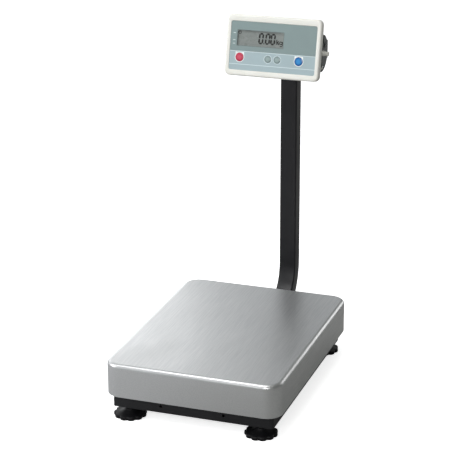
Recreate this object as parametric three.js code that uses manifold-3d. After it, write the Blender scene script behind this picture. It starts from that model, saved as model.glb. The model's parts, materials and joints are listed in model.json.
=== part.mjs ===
// Animal weighing scale: a stainless pan on a levelled base, and a display head on a bent column behind it.
// Millimetres. +Z is up, +Y runs from the user towards the column, +X is the user's right.
// The origin is on the floor, under the middle of the whole footprint.
import * as THREE from "three";
import { mergeVertices } from "three/addons/utils/BufferGeometryUtils.js";
import Module from "manifold-3d";

const wasm = await Module();
wasm.setup();

// Gap left between pieces that touch, and between a fixed shaft and its hole.
const GAP = 0.3;

// Weighing pan: one drawn sheet, turned down on all four sides.
const PAN_WIDTH = 390;
const PAN_LENGTH = 530;
const PAN_TOP = 127;
const PAN_SKIRT = 74;
const PAN_SHEET = 1.5;
const PAN_CORNER = 36;
const PAN_EDGE_ROLL = 9;

// Base frame: four folded channels and a middle channel that holds the load cell.
const FRAME_INSET = 16;
const FRAME_BOTTOM = 24;
const FRAME_CORNER = 6;
const RAIL_HEIGHT = 32;
const RAIL_SHEET = 2;
const END_RAIL_DEPTH = 36;
const SIDE_RAIL_DEPTH = 25;
const FIXING_HOLE_RADIUS = 3.5;
const FIXING_HOLE_SPACING = 140;
const FIXING_HOLE_HEIGHT = 14.5;
const BEAM_WIDTH = 60;
const BEAM_SHEET = 3;

// Load cell and the spacers that hold it off the frame and the carrier.
const CELL_WIDTH = 40;
const CELL_HEIGHT = 40;
const CELL_LENGTH = 150;
const CELL_BOTTOM = 58;
const CELL_BORE_RADIUS = 13;
const CELL_BORE_SPACING = 30;
const SPACER_LENGTH = 40;
const SPACER_WIDTH = 36;

// Platform carrier: a spine and two arms under the pan, with a rubber cushion at each arm's end.
const CARRIER_HEIGHT = 12;
const CARRIER_SHEET = 3;
const SPINE_WIDTH = 50;
const ARM_WIDTH = 40;
const ARM_FROM_PAN_END = 115;
const ARM_FROM_PAN_SIDE = 23;
const CUSHION_RADIUS = 15;
const CUSHION_HEIGHT = 8.9;
const CUSHION_FROM_PAN_SIDE = 45;
const STOP_RADIUS = 4;
const STOP_NUT_ACROSS = 13;
const STOP_NUT_HEIGHT = 7;

// Levelling feet.
const FOOT_RADIUS = 36;
const FOOT_LOBES = 11;
const FOOT_LOBE_DEPTH = 1.6;
const FOOT_RIM_HEIGHT = 8;
const FOOT_HEIGHT = 17;
const FOOT_FROM_FRAME_SIDE = 32;
const FOOT_FROM_FRAME_END = 19;
const FOOT_STUD_RADIUS = 5;
const FOOT_STUD_TOP = 68;
const FOOT_STUD_HEAD_EXTRA = 3;
const FOOT_STUD_HEAD_BOTTOM = 5;
const FOOT_STUD_HEAD_HEIGHT = 4;
const FOOT_NUT_WALL = 3;
const FOOT_NUT_HEIGHT = 8;

// Column: one rectangular tube, bent to run forward under the pan's rear edge.
const COLUMN_WIDTH = 40;
const COLUMN_DEPTH = 37;
const COLUMN_WALL = 2;
const COLUMN_CORNER = 4;
const COLUMN_BEHIND_PAN = 153.5;
const COLUMN_BEND_INNER = 79;
const COLUMN_LEG_BOTTOM = 14;
const COLUMN_ABOVE_PIVOT = 25;
const FLANGE_THICKNESS = 6;
const FLANGE_WIDTH = 90;
const FLANGE_BOLT_RADIUS = 4;
const FLANGE_BOLT_SPACING = 70;
const FLANGE_BOLT_HEIGHT = 40;
const CAP_HEIGHT = 4;
const CAP_PLUG_DEPTH = 10;
const CABLE_RADIUS = 3;
const CABLE_HOLE_RADIUS = 5;
const CABLE_HEIGHT = 34;
const LEVEL_RADIUS = 12;
const LEVEL_HEIGHT = 9;

// Display mounting: an arm from the column to a yoke, and a clamp knob at each end of the tilt axis.
const PIVOT_HEIGHT = 682.6;
const HEAD_TILT = 13;
const MOUNT_ARM_LENGTH = 45.5;
const MOUNT_ARM_SIZE = 40;
const MOUNT_ARM_WALL = 3;
const YOKE_SHEET = 3;
const YOKE_CLEARANCE = 1;
const YOKE_RIM = 2.7;
const YOKE_LOW_ANGLE = -99;
const YOKE_SLOT_END = -62;
const STOP_CLEARANCE = 0.6;
const YOKE_HUB_RADIUS = 6.5;
const YOKE_WEB_HEIGHT = 40;
const YOKE_TOP_ANGLE = 68;
const YOKE_BEND = 14;
const YOKE_WINDOW_IN = 14;
const YOKE_WINDOW_OUT = 29;
const YOKE_WINDOW_WIDTH = 9;
const YOKE_WINDOW_ANGLE = 44;
const CLAMP_STUD_RADIUS = 2.5;
const CLAMP_STUD_LENGTH = 26;
const KNOB_LENGTH = 15;
const KNOB_RADIUS = 6.8;
const CAP_LENGTH = 5.2;
const CAP_SLOT_WIDTH = 1.6;
const CAP_SLOT_DEPTH = 1.4;
const PAD_RADIUS = 29;

// Display head, measured from the middle of its printed face.
const HEAD_WIDTH = 222;
const HEAD_ABOVE = 70.4;
const HEAD_BELOW = 68.5;
const HEAD_CORNER = 12;
const HEAD_EDGE = 4;
const HEAD_WALL = 2.5;
const HEAD_RIM = 1;
const HEAD_DEPTH = 16;
const PIVOT_DEPTH = 23.5;
const PIVOT_DROP = 4;
const DRUM_RADIUS = 51;
const DRUM_HALF_LENGTH = 104;
const DRUM_WALL = 2.5;
const DRUM_EDGE = 7;
const STOP_PIN_RADIUS = 3.2;
const STOP_PIN_REACH = 35.5;
const STOP_PIN_ANGLE = -68;
const FACE_WIDTH = 202;
const FACE_HEIGHT = 110;
const FACE_CORNER = 4;
const FACE_SHEET = 0.5;
const READOUT_LEFT = -84.8;
const READOUT_RIGHT = 23.6;
const READOUT_LOW = 0.5;
const READOUT_HIGH = 34.8;
const WINDOW_SHEET = 1;
const MODULE_THICKNESS = 4;
const BOARD_THICKNESS = 1.6;
const BOARD_WIDTH = 190;
const BOARD_LOW = -48;
const BOARD_HIGH = 52;
const KEY_FLANGE = 1.3;
const KEY_TRAVEL = 0.7;
const BIG_KEY_RADIUS = 9.7;
const SMALL_KEY_RADIUS = 7.9;
const KEYS = [
  { name: "power_key", x: -77, h: -26, radius: BIG_KEY_RADIUS, color: 0xd64664 },
  { name: "unit_key", x: -10, h: -26.4, radius: SMALL_KEY_RADIUS, color: 0x8ea7a5 },
  { name: "hold_key", x: 12, h: -26.4, radius: SMALL_KEY_RADIUS, color: 0x8ea7a5 },
  { name: "zero_key", x: 62.5, h: -26, radius: BIG_KEY_RADIUS, color: 0x1e78c8 },
];
const BATTERY_WIDTH = 110;
const INLET_RADIUS = 6.5;
const INLET_BORE = 4;
const INLET_X = 60;

const deg = THREE.MathUtils.degToRad;

// ---- Shape helpers ----

// A closed geometry as a solid with its faces pointing out.
function solid(geometry) {
  const bare = new THREE.BufferGeometry();
  const loose = geometry.index ? geometry.toNonIndexed() : geometry;
  bare.setAttribute("position", loose.getAttribute("position"));
  const merged = mergeVertices(bare, 1e-4);
  const triVerts = new Uint32Array(merged.index.array);
  const vertProperties = new Float32Array(merged.getAttribute("position").array);
  const made = new wasm.Manifold(new wasm.Mesh({ numProp: 3, vertProperties, triVerts }));
  if (made.volume() > 0) return made;
  triVerts.reverse();
  return new wasm.Manifold(new wasm.Mesh({ numProp: 3, vertProperties, triVerts }));
}

// A named mesh made from a solid, with its own material.
function piece(name, shape, color, roughness, metalness) {
  const data = shape.getMesh();
  const geometry = new THREE.BufferGeometry();
  geometry.setAttribute("position", new THREE.BufferAttribute(new Float32Array(data.vertProperties), 3));
  geometry.setIndex(new THREE.BufferAttribute(new Uint32Array(data.triVerts), 1));
  const flat = geometry.toNonIndexed();
  flat.computeVertexNormals();
  const mesh = new THREE.Mesh(flat, new THREE.MeshStandardMaterial({ color, roughness, metalness }));
  mesh.name = name;
  return mesh;
}

// A box between two corners.
function block(x0, x1, y0, y1, z0, z1) {
  const geometry = new THREE.BoxGeometry(x1 - x0, y1 - y0, z1 - z0);
  geometry.translate((x0 + x1) / 2, (y0 + y1) / 2, (z0 + z1) / 2);
  return solid(geometry);
}

// A profile of [radius, height] points turned about Z.
function turned(profile, segments = 20) {
  const points = profile.map(([radius, height]) => new THREE.Vector2(radius, height));
  return solid(new THREE.LatheGeometry(points, segments).rotateX(Math.PI / 2));
}

// A round bar along Z.
function bar(radius, z0, z1, segments = 16) {
  return turned([[0, z0], [radius, z0], [radius, z1], [0, z1]], segments);
}

// A six-sided prism along Z, given across its flats.
function hexagon(across, z0, z1) {
  return bar(across / Math.sqrt(3), z0, z1, 6);
}

// Turns a shape made along Z so that it runs along X or Y.
const alongX = (shape) => shape.rotate([0, 90, 0]);
const alongY = (shape) => shape.rotate([-90, 0, 0]);

// A rectangle with rounded corners, its middle at (cx, cy).
function roundedRectangle(width, height, radius, cx = 0, cy = 0) {
  const x = width / 2 - radius;
  const y = height / 2 - radius;
  const shape = new THREE.Shape();
  shape.absarc(cx + x, cy + y, radius, 0, Math.PI / 2);
  shape.absarc(cx - x, cy + y, radius, Math.PI / 2, Math.PI);
  shape.absarc(cx - x, cy - y, radius, Math.PI, Math.PI * 1.5);
  shape.absarc(cx + x, cy - y, radius, Math.PI * 1.5, Math.PI * 2);
  return shape;
}

// A flat shape given thickness along Z, with an optional rounded edge at both ends.
function slab(shape, z0, z1, edge = 0, arcSegments = 6, edgeSegments = 4) {
  const geometry = new THREE.ExtrudeGeometry(shape, {
    depth: z1 - z0 - 2 * edge,
    curveSegments: arcSegments,
    bevelEnabled: edge > 0,
    bevelThickness: edge,
    bevelSize: edge,
    bevelOffset: -edge,
    bevelSegments: edgeSegments,
  });
  return solid(geometry.translate(0, 0, z0 + edge));
}

// The same slab standing up: the shape is seen from the front, and y0 to y1 is its thickness.
function standing(shape, y0, y1, edge = 0, arcSegments = 6, edgeSegments = 4) {
  return slab(shape, -y1, -y0, edge, arcSegments, edgeSegments).rotate([90, 0, 0]);
}

// A path in the YZ plane through corner points, with each inner corner rounded to its own radius.
// Its stations sit at the straight runs' ends and evenly round each bend.
class BentPath extends THREE.Curve {
  constructor(corners, radii, bendSteps) {
    super();
    this.stations = [];
    const at = corners.map(([y, z]) => new THREE.Vector3(0, y, z));
    const heading = (i) => at[i + 1].clone().sub(at[i]).normalize();
    this.stations.push({ point: at[0], tangent: heading(0) });
    for (let i = 1; i < at.length - 1; i += 1) {
      const before = heading(i - 1);
      const after = heading(i);
      const turn = before.angleTo(after);
      const back = radii[i - 1] * Math.tan(turn / 2);
      const start = at[i].clone().addScaledVector(before, -back);
      const inward = after.clone().addScaledVector(before, -after.dot(before)).normalize();
      for (let k = 0; k <= bendSteps; k += 1) {
        const angle = (turn * k) / bendSteps;
        const along = radii[i - 1] * Math.sin(angle);
        const aside = radii[i - 1] * (1 - Math.cos(angle));
        const point = start.clone().addScaledVector(before, along).addScaledVector(inward, aside);
        const tangent = before.clone().multiplyScalar(Math.cos(angle));
        tangent.addScaledVector(inward, Math.sin(angle));
        this.stations.push({ point, tangent });
      }
    }
    this.stations.push({ point: at[at.length - 1], tangent: heading(at.length - 2) });
  }

  station(u) {
    return this.stations[Math.round(u * (this.stations.length - 1))];
  }

  getPointAt(u, target = new THREE.Vector3()) {
    return target.copy(this.station(u).point);
  }

  getTangentAt(u, target = new THREE.Vector3()) {
    return target.copy(this.station(u).tangent);
  }
}

// A section swept along a bent path.
function swept(shape, path, arcSegments) {
  const steps = path.stations.length - 1;
  return solid(new THREE.ExtrudeGeometry(shape, { extrudePath: path, steps, curveSegments: arcSegments }));
}

// ---- Places worked out from the sizes above ----
const panHalfX = PAN_WIDTH / 2;
const panHalfY = PAN_LENGTH / 2;
const panBottom = PAN_TOP - PAN_SKIRT;
const panUnderside = PAN_TOP - PAN_SHEET;
const frameHalfX = panHalfX - FRAME_INSET;
const frameHalfY = panHalfY - FRAME_INSET;
const frameTop = FRAME_BOTTOM + RAIL_HEIGHT;
const footX = frameHalfX - FOOT_FROM_FRAME_SIDE;
const footY = frameHalfY - FOOT_FROM_FRAME_END;
const armY = panHalfY - ARM_FROM_PAN_END;
const armHalfX = panHalfX - ARM_FROM_PAN_SIDE;
const cushionX = panHalfX - CUSHION_FROM_PAN_SIDE;
const carrierTop = panUnderside - CUSHION_HEIGHT - 2 * GAP;
const carrierBottom = carrierTop - CARRIER_HEIGHT;
const cellTop = CELL_BOTTOM + CELL_HEIGHT;
const cellHalfY = CELL_LENGTH / 2;
const beamBottom = FRAME_BOTTOM + RAIL_SHEET + GAP;
const beamTop = frameTop - RAIL_SHEET - 2;
const beamHalfY = frameHalfY - RAIL_SHEET - GAP;
const columnFront = panHalfY + COLUMN_BEHIND_PAN;
const yokeReach = DRUM_RADIUS + YOKE_CLEARANCE + YOKE_SHEET;
const columnMiddle = columnFront + COLUMN_DEPTH / 2;
const legMiddle = COLUMN_LEG_BOTTOM + COLUMN_DEPTH / 2;
const legTop = COLUMN_LEG_BOTTOM + COLUMN_DEPTH;
const flangeFront = frameHalfY + GAP;
const flangeBack = flangeFront + FLANGE_THICKNESS;
const columnTop = PIVOT_HEIGHT + COLUMN_ABOVE_PIVOT;
const pivotY = columnFront - 2 * GAP - MOUNT_ARM_LENGTH - yokeReach;
const yokeIn = HEAD_WIDTH / 2 - 1 - YOKE_SHEET;
const yokeOut = yokeIn + YOKE_SHEET;
const clampHole = CLAMP_STUD_RADIUS + GAP;

const STEEL = [0xc9ccce, 0.38, 1];
const BLACK_PAINT = [0x27282b, 0.5, 0.2];
const IVORY = [0xe6e5da, 0.5, 0];
const RUBBER = [0x1d1d1f, 0.85, 0];
const ZINC = [0xa9adb0, 0.35, 1];

const scale = new THREE.Group();

// ---- Base frame ----

// An end rail: a channel open towards the middle, closed at both ends round the frame's corners.
function endRail(side) {
  const outline = roundedRectangle(2 * frameHalfX, 2 * frameHalfY, FRAME_CORNER);
  const far = frameHalfY + 10;
  const inner = frameHalfY - END_RAIL_DEPTH;
  let shape = slab(outline, FRAME_BOTTOM, frameTop, 0, 4).intersect(
    block(-far, far, inner, far, FRAME_BOTTOM - 1, frameTop + 1),
  );
  shape = shape.subtract(
    block(
      RAIL_SHEET - frameHalfX,
      frameHalfX - RAIL_SHEET,
      inner - 1,
      frameHalfY - RAIL_SHEET,
      FRAME_BOTTOM + RAIL_SHEET,
      frameTop - RAIL_SHEET,
    ),
  );
  for (const x of [-footX, footX]) {
    const hole = bar(FOOT_STUD_RADIUS + GAP, FRAME_BOTTOM - 1, frameTop + 1).translate([x, footY, 0]);
    shape = shape.subtract(hole);
  }
  return side > 0 ? shape : shape.rotate([0, 0, 180]);
}

let frontRail = endRail(-1);
for (const x of [-FIXING_HOLE_SPACING / 2, FIXING_HOLE_SPACING / 2]) {
  const hole = alongY(bar(FIXING_HOLE_RADIUS, -5, 5, 16));
  frontRail = frontRail.subtract(hole.translate([x, -frameHalfY, FRAME_BOTTOM + FIXING_HOLE_HEIGHT]));
}
scale.add(piece("front_rail", frontRail, ...BLACK_PAINT));

let rearRail = endRail(1);
const cableHole = alongY(bar(CABLE_HOLE_RADIUS, -20, 20, 20)).translate([0, frameHalfY, CABLE_HEIGHT]);
rearRail = rearRail.subtract(cableHole);
const boltX = FLANGE_BOLT_SPACING / 2;
const boltHoles = [-boltX, boltX].map((x) =>
  alongY(bar(FLANGE_BOLT_RADIUS + GAP, -20, 20, 20)).translate([x, frameHalfY, FLANGE_BOLT_HEIGHT]),
);
rearRail = rearRail.subtract(boltHoles[0]).subtract(boltHoles[1]);
scale.add(piece("rear_rail", rearRail, ...BLACK_PAINT));

// A side rail: a channel open towards the middle, fitted between the end rails.
function sideRail(side) {
  const end = frameHalfY - END_RAIL_DEPTH - GAP;
  const inner = frameHalfX - SIDE_RAIL_DEPTH;
  const outside = block(inner, frameHalfX, -end, end, FRAME_BOTTOM, frameTop);
  const hollow = block(
    inner - 1,
    frameHalfX - RAIL_SHEET,
    -end - 1,
    end + 1,
    FRAME_BOTTOM + RAIL_SHEET,
    frameTop - RAIL_SHEET,
  );
  const shape = outside.subtract(hollow);
  return side > 0 ? shape : shape.rotate([0, 0, 180]);
}
scale.add(piece("left_rail", sideRail(-1), ...BLACK_PAINT));
scale.add(piece("right_rail", sideRail(1), ...BLACK_PAINT));

// The middle channel, open upwards, lies inside the two end rails.
const beamHalfX = BEAM_WIDTH / 2;
const beamShape = block(-beamHalfX, beamHalfX, -beamHalfY, beamHalfY, beamBottom, beamTop).subtract(
  block(
    BEAM_SHEET - beamHalfX,
    beamHalfX - BEAM_SHEET,
    -beamHalfY - 1,
    beamHalfY + 1,
    beamBottom + BEAM_SHEET,
    beamTop + 1,
  ),
);
scale.add(piece("centre_beam", beamShape, ...BLACK_PAINT));

// ---- Load cell and carrier ----
const spacerHalfX = SPACER_WIDTH / 2;
const lowerSpacer = block(
  -spacerHalfX,
  spacerHalfX,
  -cellHalfY,
  -cellHalfY + SPACER_LENGTH,
  beamBottom + BEAM_SHEET + GAP,
  CELL_BOTTOM - GAP,
);
scale.add(piece("lower_spacer", lowerSpacer, ...ZINC));

// The cell is thinned in the middle by two joined cross bores, so that it bends a little under load.
const cellHalfX = CELL_WIDTH / 2;
const cellMiddle = CELL_BOTTOM + CELL_HEIGHT / 2;
let cell = block(-cellHalfX, cellHalfX, -cellHalfY, cellHalfY, CELL_BOTTOM, cellTop);
for (const y of [-CELL_BORE_SPACING / 2, CELL_BORE_SPACING / 2]) {
  const bore = alongX(bar(CELL_BORE_RADIUS, -cellHalfX - 1, cellHalfX + 1));
  cell = cell.subtract(bore.translate([0, y, cellMiddle]));
}
const slotHalf = CELL_BORE_RADIUS / 3;
cell = cell.subtract(
  block(
    -cellHalfX - 1,
    cellHalfX + 1,
    -CELL_BORE_SPACING / 2,
    CELL_BORE_SPACING / 2,
    cellMiddle - slotHalf,
    cellMiddle + slotHalf,
  ),
);
scale.add(piece("load_cell", cell, 0xb9bcbf, 0.35, 1));

const upperSpacer = block(
  -spacerHalfX,
  spacerHalfX,
  cellHalfY - SPACER_LENGTH,
  cellHalfY,
  cellTop + GAP,
  carrierTop - CARRIER_SHEET - GAP,
);
scale.add(piece("upper_spacer", upperSpacer, ...ZINC));

// A downward-open channel between two corners; along says which way its open ends face.
function coverChannel(x0, x1, y0, y1, along) {
  const outside = block(x0, x1, y0, y1, carrierBottom, carrierTop);
  const inX = along === "y" ? CARRIER_SHEET : -1;
  const inY = along === "x" ? CARRIER_SHEET : -1;
  const roof = carrierTop - CARRIER_SHEET;
  return outside.subtract(block(x0 + inX, x1 - inX, y0 + inY, y1 - inY, carrierBottom - 1, roof));
}
const armHalfY = ARM_WIDTH / 2;
const spineEnd = armY - armHalfY - GAP;
const spineShape = coverChannel(-SPINE_WIDTH / 2, SPINE_WIDTH / 2, -spineEnd, spineEnd, "y");
scale.add(piece("platform_spine", spineShape, ...ZINC));
for (const [name, y] of [["platform_arm_front", -armY], ["platform_arm_rear", armY]]) {
  const shape = coverChannel(-armHalfX, armHalfX, y - armHalfY, y + armHalfY, "x");
  scale.add(piece(name, shape, ...ZINC));
}

// ---- The four corners: cushion, overload stop, levelling foot ----
const CORNERS = [
  { name: "front_left", x: -1, y: -1 },
  { name: "front_right", x: 1, y: -1 },
  { name: "rear_left", x: -1, y: 1 },
  { name: "rear_right", x: 1, y: 1 },
];

const cushionTop = carrierTop + GAP + CUSHION_HEIGHT;
const cushion = turned(
  [
    [0, carrierTop + GAP],
    [CUSHION_RADIUS, carrierTop + GAP],
    [CUSHION_RADIUS, cushionTop - 2],
    [CUSHION_RADIUS - 2, cushionTop],
    [0, cushionTop],
  ],
  20,
);

// The stop stands on a side rail and ends just under the arm's roof, to catch an overloaded pan.
const stopTop = carrierTop - CARRIER_SHEET - GAP;
const stopNut = hexagon(STOP_NUT_ACROSS, frameTop + GAP, frameTop + GAP + STOP_NUT_HEIGHT);
const overloadStop = bar(STOP_RADIUS, frameTop + GAP, stopTop, 16).add(stopNut);

// The pad is a lobed disc under a low cone, with a pocket that holds the stud's head.
const rimPoints = [];
const rimSteps = FOOT_LOBES * 4;
for (let i = 0; i < rimSteps; i += 1) {
  const angle = (2 * Math.PI * i) / rimSteps;
  const radius = FOOT_RADIUS - (FOOT_LOBE_DEPTH / 2) * (1 - Math.cos(FOOT_LOBES * angle));
  rimPoints.push(new THREE.Vector2(radius * Math.cos(angle), radius * Math.sin(angle)));
}
const headBottom = FOOT_STUD_HEAD_BOTTOM;
const headTop = headBottom + FOOT_STUD_HEAD_HEIGHT;
const headRadius = FOOT_STUD_RADIUS + FOOT_STUD_HEAD_EXTRA;
const neckRadius = FOOT_STUD_RADIUS + GAP;
const footPad = slab(new THREE.Shape(rimPoints), 0, FOOT_RIM_HEIGHT, 1.2, 1, 1)
  .add(
    turned(
      [
        [0, FOOT_RIM_HEIGHT - 1],
        [FOOT_RADIUS * 0.8, FOOT_RIM_HEIGHT - 1],
        [FOOT_RADIUS * 0.8, FOOT_RIM_HEIGHT + 1],
        [neckRadius + 7, FOOT_HEIGHT - 1],
        [neckRadius + 5, FOOT_HEIGHT],
        [0, FOOT_HEIGHT],
      ],
      22,
    ),
  )
  .subtract(bar(headRadius + GAP, headBottom - GAP, headTop + GAP))
  .subtract(bar(neckRadius, headBottom, FOOT_HEIGHT + 1));
const footStud = bar(headRadius, headBottom, headTop).add(bar(FOOT_STUD_RADIUS, headBottom, FOOT_STUD_TOP));
const nutBottom = FRAME_BOTTOM + RAIL_SHEET + GAP;
const nutAcross = 2 * (neckRadius + FOOT_NUT_WALL);
const footNut = hexagon(nutAcross, nutBottom, nutBottom + FOOT_NUT_HEIGHT).subtract(
  bar(neckRadius, nutBottom - 1, nutBottom + FOOT_NUT_HEIGHT + 1),
);

for (const corner of CORNERS) {
  const cushionMesh = piece(`cushion_${corner.name}`, cushion, ...RUBBER);
  cushionMesh.position.set(corner.x * cushionX, corner.y * armY, 0);
  const stopMesh = piece(`overload_stop_${corner.name}`, overloadStop, ...ZINC);
  stopMesh.position.set(corner.x * (frameHalfX - SIDE_RAIL_DEPTH / 2), corner.y * armY, 0);
  const foot = new THREE.Group();
  foot.position.set(corner.x * footX, corner.y * footY, 0);
  foot.add(piece(`foot_pad_${corner.name}`, footPad, ...RUBBER));
  foot.add(piece(`foot_stud_${corner.name}`, footStud, ...ZINC));
  foot.add(piece(`foot_nut_${corner.name}`, footNut, ...ZINC));
  scale.add(cushionMesh, stopMesh, foot);
}

// ---- Weighing pan ----
const panOutside = slab(
  roundedRectangle(PAN_WIDTH, PAN_LENGTH, PAN_CORNER),
  panBottom - 30,
  PAN_TOP,
  PAN_EDGE_ROLL,
  6,
  3,
);
const panInside = slab(
  roundedRectangle(PAN_WIDTH - 2 * PAN_SHEET, PAN_LENGTH - 2 * PAN_SHEET, PAN_CORNER - PAN_SHEET),
  panBottom - 40,
  panUnderside,
  PAN_EDGE_ROLL - PAN_SHEET,
  6,
  3,
);
const belowSkirt = block(-PAN_WIDTH, PAN_WIDTH, -PAN_LENGTH, PAN_LENGTH, panBottom - 50, panBottom);
const panShape = panOutside.subtract(panInside).subtract(belowSkirt);
scale.add(piece("weighing_pan", panShape, ...STEEL));

// ---- Column ----
const cableExit = alongY(bar(CABLE_HOLE_RADIUS + 1, -10, 10, 20)).translate([0, columnFront, PIVOT_HEIGHT]);
const columnPath = new BentPath(
  [
    [columnMiddle, columnTop],
    [columnMiddle, legMiddle],
    [flangeBack + GAP, legMiddle],
  ],
  [COLUMN_BEND_INNER + COLUMN_DEPTH / 2],
  9,
);
// Along this path the section's own X lies in the bend's plane, and its Y across the scale.
const columnSection = roundedRectangle(COLUMN_DEPTH, COLUMN_WIDTH, COLUMN_CORNER);
columnSection.holes.push(
  roundedRectangle(
    COLUMN_DEPTH - 2 * COLUMN_WALL,
    COLUMN_WIDTH - 2 * COLUMN_WALL,
    COLUMN_CORNER - COLUMN_WALL,
  ),
);
const columnTube = swept(columnSection, columnPath, 2).subtract(cableExit);
scale.add(piece("column_tube", columnTube, ...BLACK_PAINT));

const flangeMiddle = (COLUMN_LEG_BOTTOM + legTop) / 2;
const columnFlange = standing(
  roundedRectangle(FLANGE_WIDTH, COLUMN_DEPTH, 5, 0, flangeMiddle),
  flangeFront,
  flangeBack,
  0,
  3,
)
  .subtract(cableHole)
  .subtract(boltHoles[0])
  .subtract(boltHoles[1]);
scale.add(piece("column_flange", columnFlange, ...BLACK_PAINT));

const headStart = flangeBack + GAP;
const flangeBolt = alongY(
  bar(FLANGE_BOLT_RADIUS, frameHalfY - 12, headStart + 1, 16).add(hexagon(13, headStart, headStart + 5.3)),
);
for (const [name, x] of [["flange_bolt_left", -boltX], ["flange_bolt_right", boltX]]) {
  const bolt = piece(name, flangeBolt, ...ZINC);
  bolt.position.set(x, 0, FLANGE_BOLT_HEIGHT);
  scale.add(bolt);
}

const plugX = COLUMN_WIDTH - 2 * (COLUMN_WALL + GAP);
const plugY = COLUMN_DEPTH - 2 * (COLUMN_WALL + GAP);
const plugCorner = COLUMN_CORNER - COLUMN_WALL;
const capBottom = columnTop + GAP;
const capTop = capBottom + CAP_HEIGHT;
const capOutline = roundedRectangle(COLUMN_WIDTH, COLUMN_DEPTH, COLUMN_CORNER);
const columnCap = slab(capOutline, capBottom, capTop, 1, 3, 2)
  .add(slab(roundedRectangle(plugX, plugY, plugCorner), capBottom - CAP_PLUG_DEPTH, capBottom + 1.5, 0, 2))
  .subtract(
    slab(roundedRectangle(plugX - 4, plugY - 4, 1), capBottom - CAP_PLUG_DEPTH - 1, capBottom, 0, 2),
  )
  .translate([0, columnMiddle, 0]);
scale.add(piece("column_cap", columnCap, ...RUBBER));

// The signal cable runs from the load cell through the base and the column to the display arm.
const cablePath = new BentPath(
  [
    [cellHalfY + GAP, cellMiddle],
    [cellHalfY + 45, cellMiddle],
    [cellHalfY + 95, CABLE_HEIGHT],
    [columnMiddle, CABLE_HEIGHT],
    [columnMiddle, PIVOT_HEIGHT],
    [columnFront - MOUNT_ARM_LENGTH + 8, PIVOT_HEIGHT],
  ],
  [20, 20, COLUMN_BEND_INNER + COLUMN_DEPTH / 2, 12],
  5,
);
const cableSection = new THREE.Shape().absarc(0, 0, CABLE_RADIUS, 0, Math.PI * 2);
scale.add(piece("signal_cable", swept(cableSection, cablePath, 5), ...RUBBER));

// A round spirit level stands on the column's leg, behind the pan.
const levelTop = legTop + GAP + LEVEL_HEIGHT;
const levelVial = turned([
  [0, legTop + GAP],
  [LEVEL_RADIUS, legTop + GAP],
  [LEVEL_RADIUS, levelTop],
  [LEVEL_RADIUS - 2, levelTop],
  [LEVEL_RADIUS - 2.4, levelTop - 4],
  [0, levelTop - 4],
]).translate([0, panHalfY + 3 * LEVEL_RADIUS, 0]);
scale.add(piece("level_vial", levelVial, ...IVORY));

// ---- Display arm and yoke ----
const armStart = pivotY + yokeReach + GAP;
const mountHalf = MOUNT_ARM_SIZE / 2;
const mountIn = mountHalf - MOUNT_ARM_WALL;
const mountArm = block(
  -mountHalf,
  mountHalf,
  armStart,
  armStart + MOUNT_ARM_LENGTH,
  PIVOT_HEIGHT - mountHalf,
  PIVOT_HEIGHT + mountHalf,
).subtract(
  block(
    -mountIn,
    mountIn,
    armStart - 1,
    armStart + MOUNT_ARM_LENGTH + 1,
    PIVOT_HEIGHT - mountIn,
    PIVOT_HEIGHT + mountIn,
  ),
);
scale.add(piece("display_arm", mountArm, ...BLACK_PAINT));

// Everything on the tilt axis is placed from the pivot.
const pivot = new THREE.Group();
pivot.position.set(0, pivotY, PIVOT_HEIGHT);
scale.add(pivot);

// A shape drawn in the YZ plane as (y, z), given thickness along X.
const sideOn = (shape, x0, x1, arcSegments = 10) =>
  slab(shape, x0, x1, 0, arcSegments).rotate([90, 0, 0]).rotate([0, 0, 90]);

// The yoke is a U seen from above, cut to a side outline: a fan round each clamp and a web behind.
// The fan's edges stop where the head's back edge comes at either end of its tilt.
const yokeBase = new THREE.Shape();
const bendCentre = yokeReach - YOKE_BEND;
yokeBase.moveTo(yokeOut, -YOKE_HUB_RADIUS - 1);
yokeBase.absarc(yokeOut - YOKE_BEND, bendCentre, YOKE_BEND, 0, Math.PI / 2);
yokeBase.absarc(YOKE_BEND - yokeOut, bendCentre, YOKE_BEND, Math.PI / 2, Math.PI);
yokeBase.lineTo(-yokeOut, -YOKE_HUB_RADIUS - 1);
yokeBase.lineTo(-yokeIn, -YOKE_HUB_RADIUS - 1);
const bendIn = YOKE_BEND - YOKE_SHEET;
yokeBase.absarc(YOKE_BEND - yokeOut, bendCentre, bendIn, Math.PI, Math.PI / 2, true);
yokeBase.absarc(yokeOut - YOKE_BEND, bendCentre, bendIn, Math.PI / 2, 0, true);
yokeBase.lineTo(yokeIn, -YOKE_HUB_RADIUS - 1);
yokeBase.closePath();

// The head's stop pins ride in the curved slot along the fan's lower rim, open at its front.
const slotIn = STOP_PIN_REACH - STOP_PIN_RADIUS - STOP_CLEARANCE;
const slotOut = STOP_PIN_REACH + STOP_PIN_RADIUS + STOP_CLEARANCE;
const fan = new THREE.Shape();
fan.moveTo(0, 0);
fan.absarc(0, 0, slotOut + YOKE_RIM, deg(YOKE_LOW_ANGLE), deg(YOKE_TOP_ANGLE));
fan.closePath();
const stopSlot = new THREE.Shape();
stopSlot.absarc(0, 0, slotOut, deg(YOKE_LOW_ANGLE - 20), deg(YOKE_SLOT_END));
stopSlot.absarc(0, 0, slotIn, deg(YOKE_SLOT_END), deg(YOKE_LOW_ANGLE - 20), true);
stopSlot.closePath();
const webHalf = YOKE_WEB_HEIGHT / 2;
const webFront = webHalf / Math.tan(deg(YOKE_TOP_ANGLE)) + 2;
const windowShape = roundedRectangle(
  YOKE_WINDOW_OUT - YOKE_WINDOW_IN,
  YOKE_WINDOW_WIDTH,
  2,
  (YOKE_WINDOW_IN + YOKE_WINDOW_OUT) / 2,
  0,
);
const yokeWindow = sideOn(windowShape, -yokeOut - 5, yokeOut + 5, 3).rotate([YOKE_WINDOW_ANGLE, 0, 0]);
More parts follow.
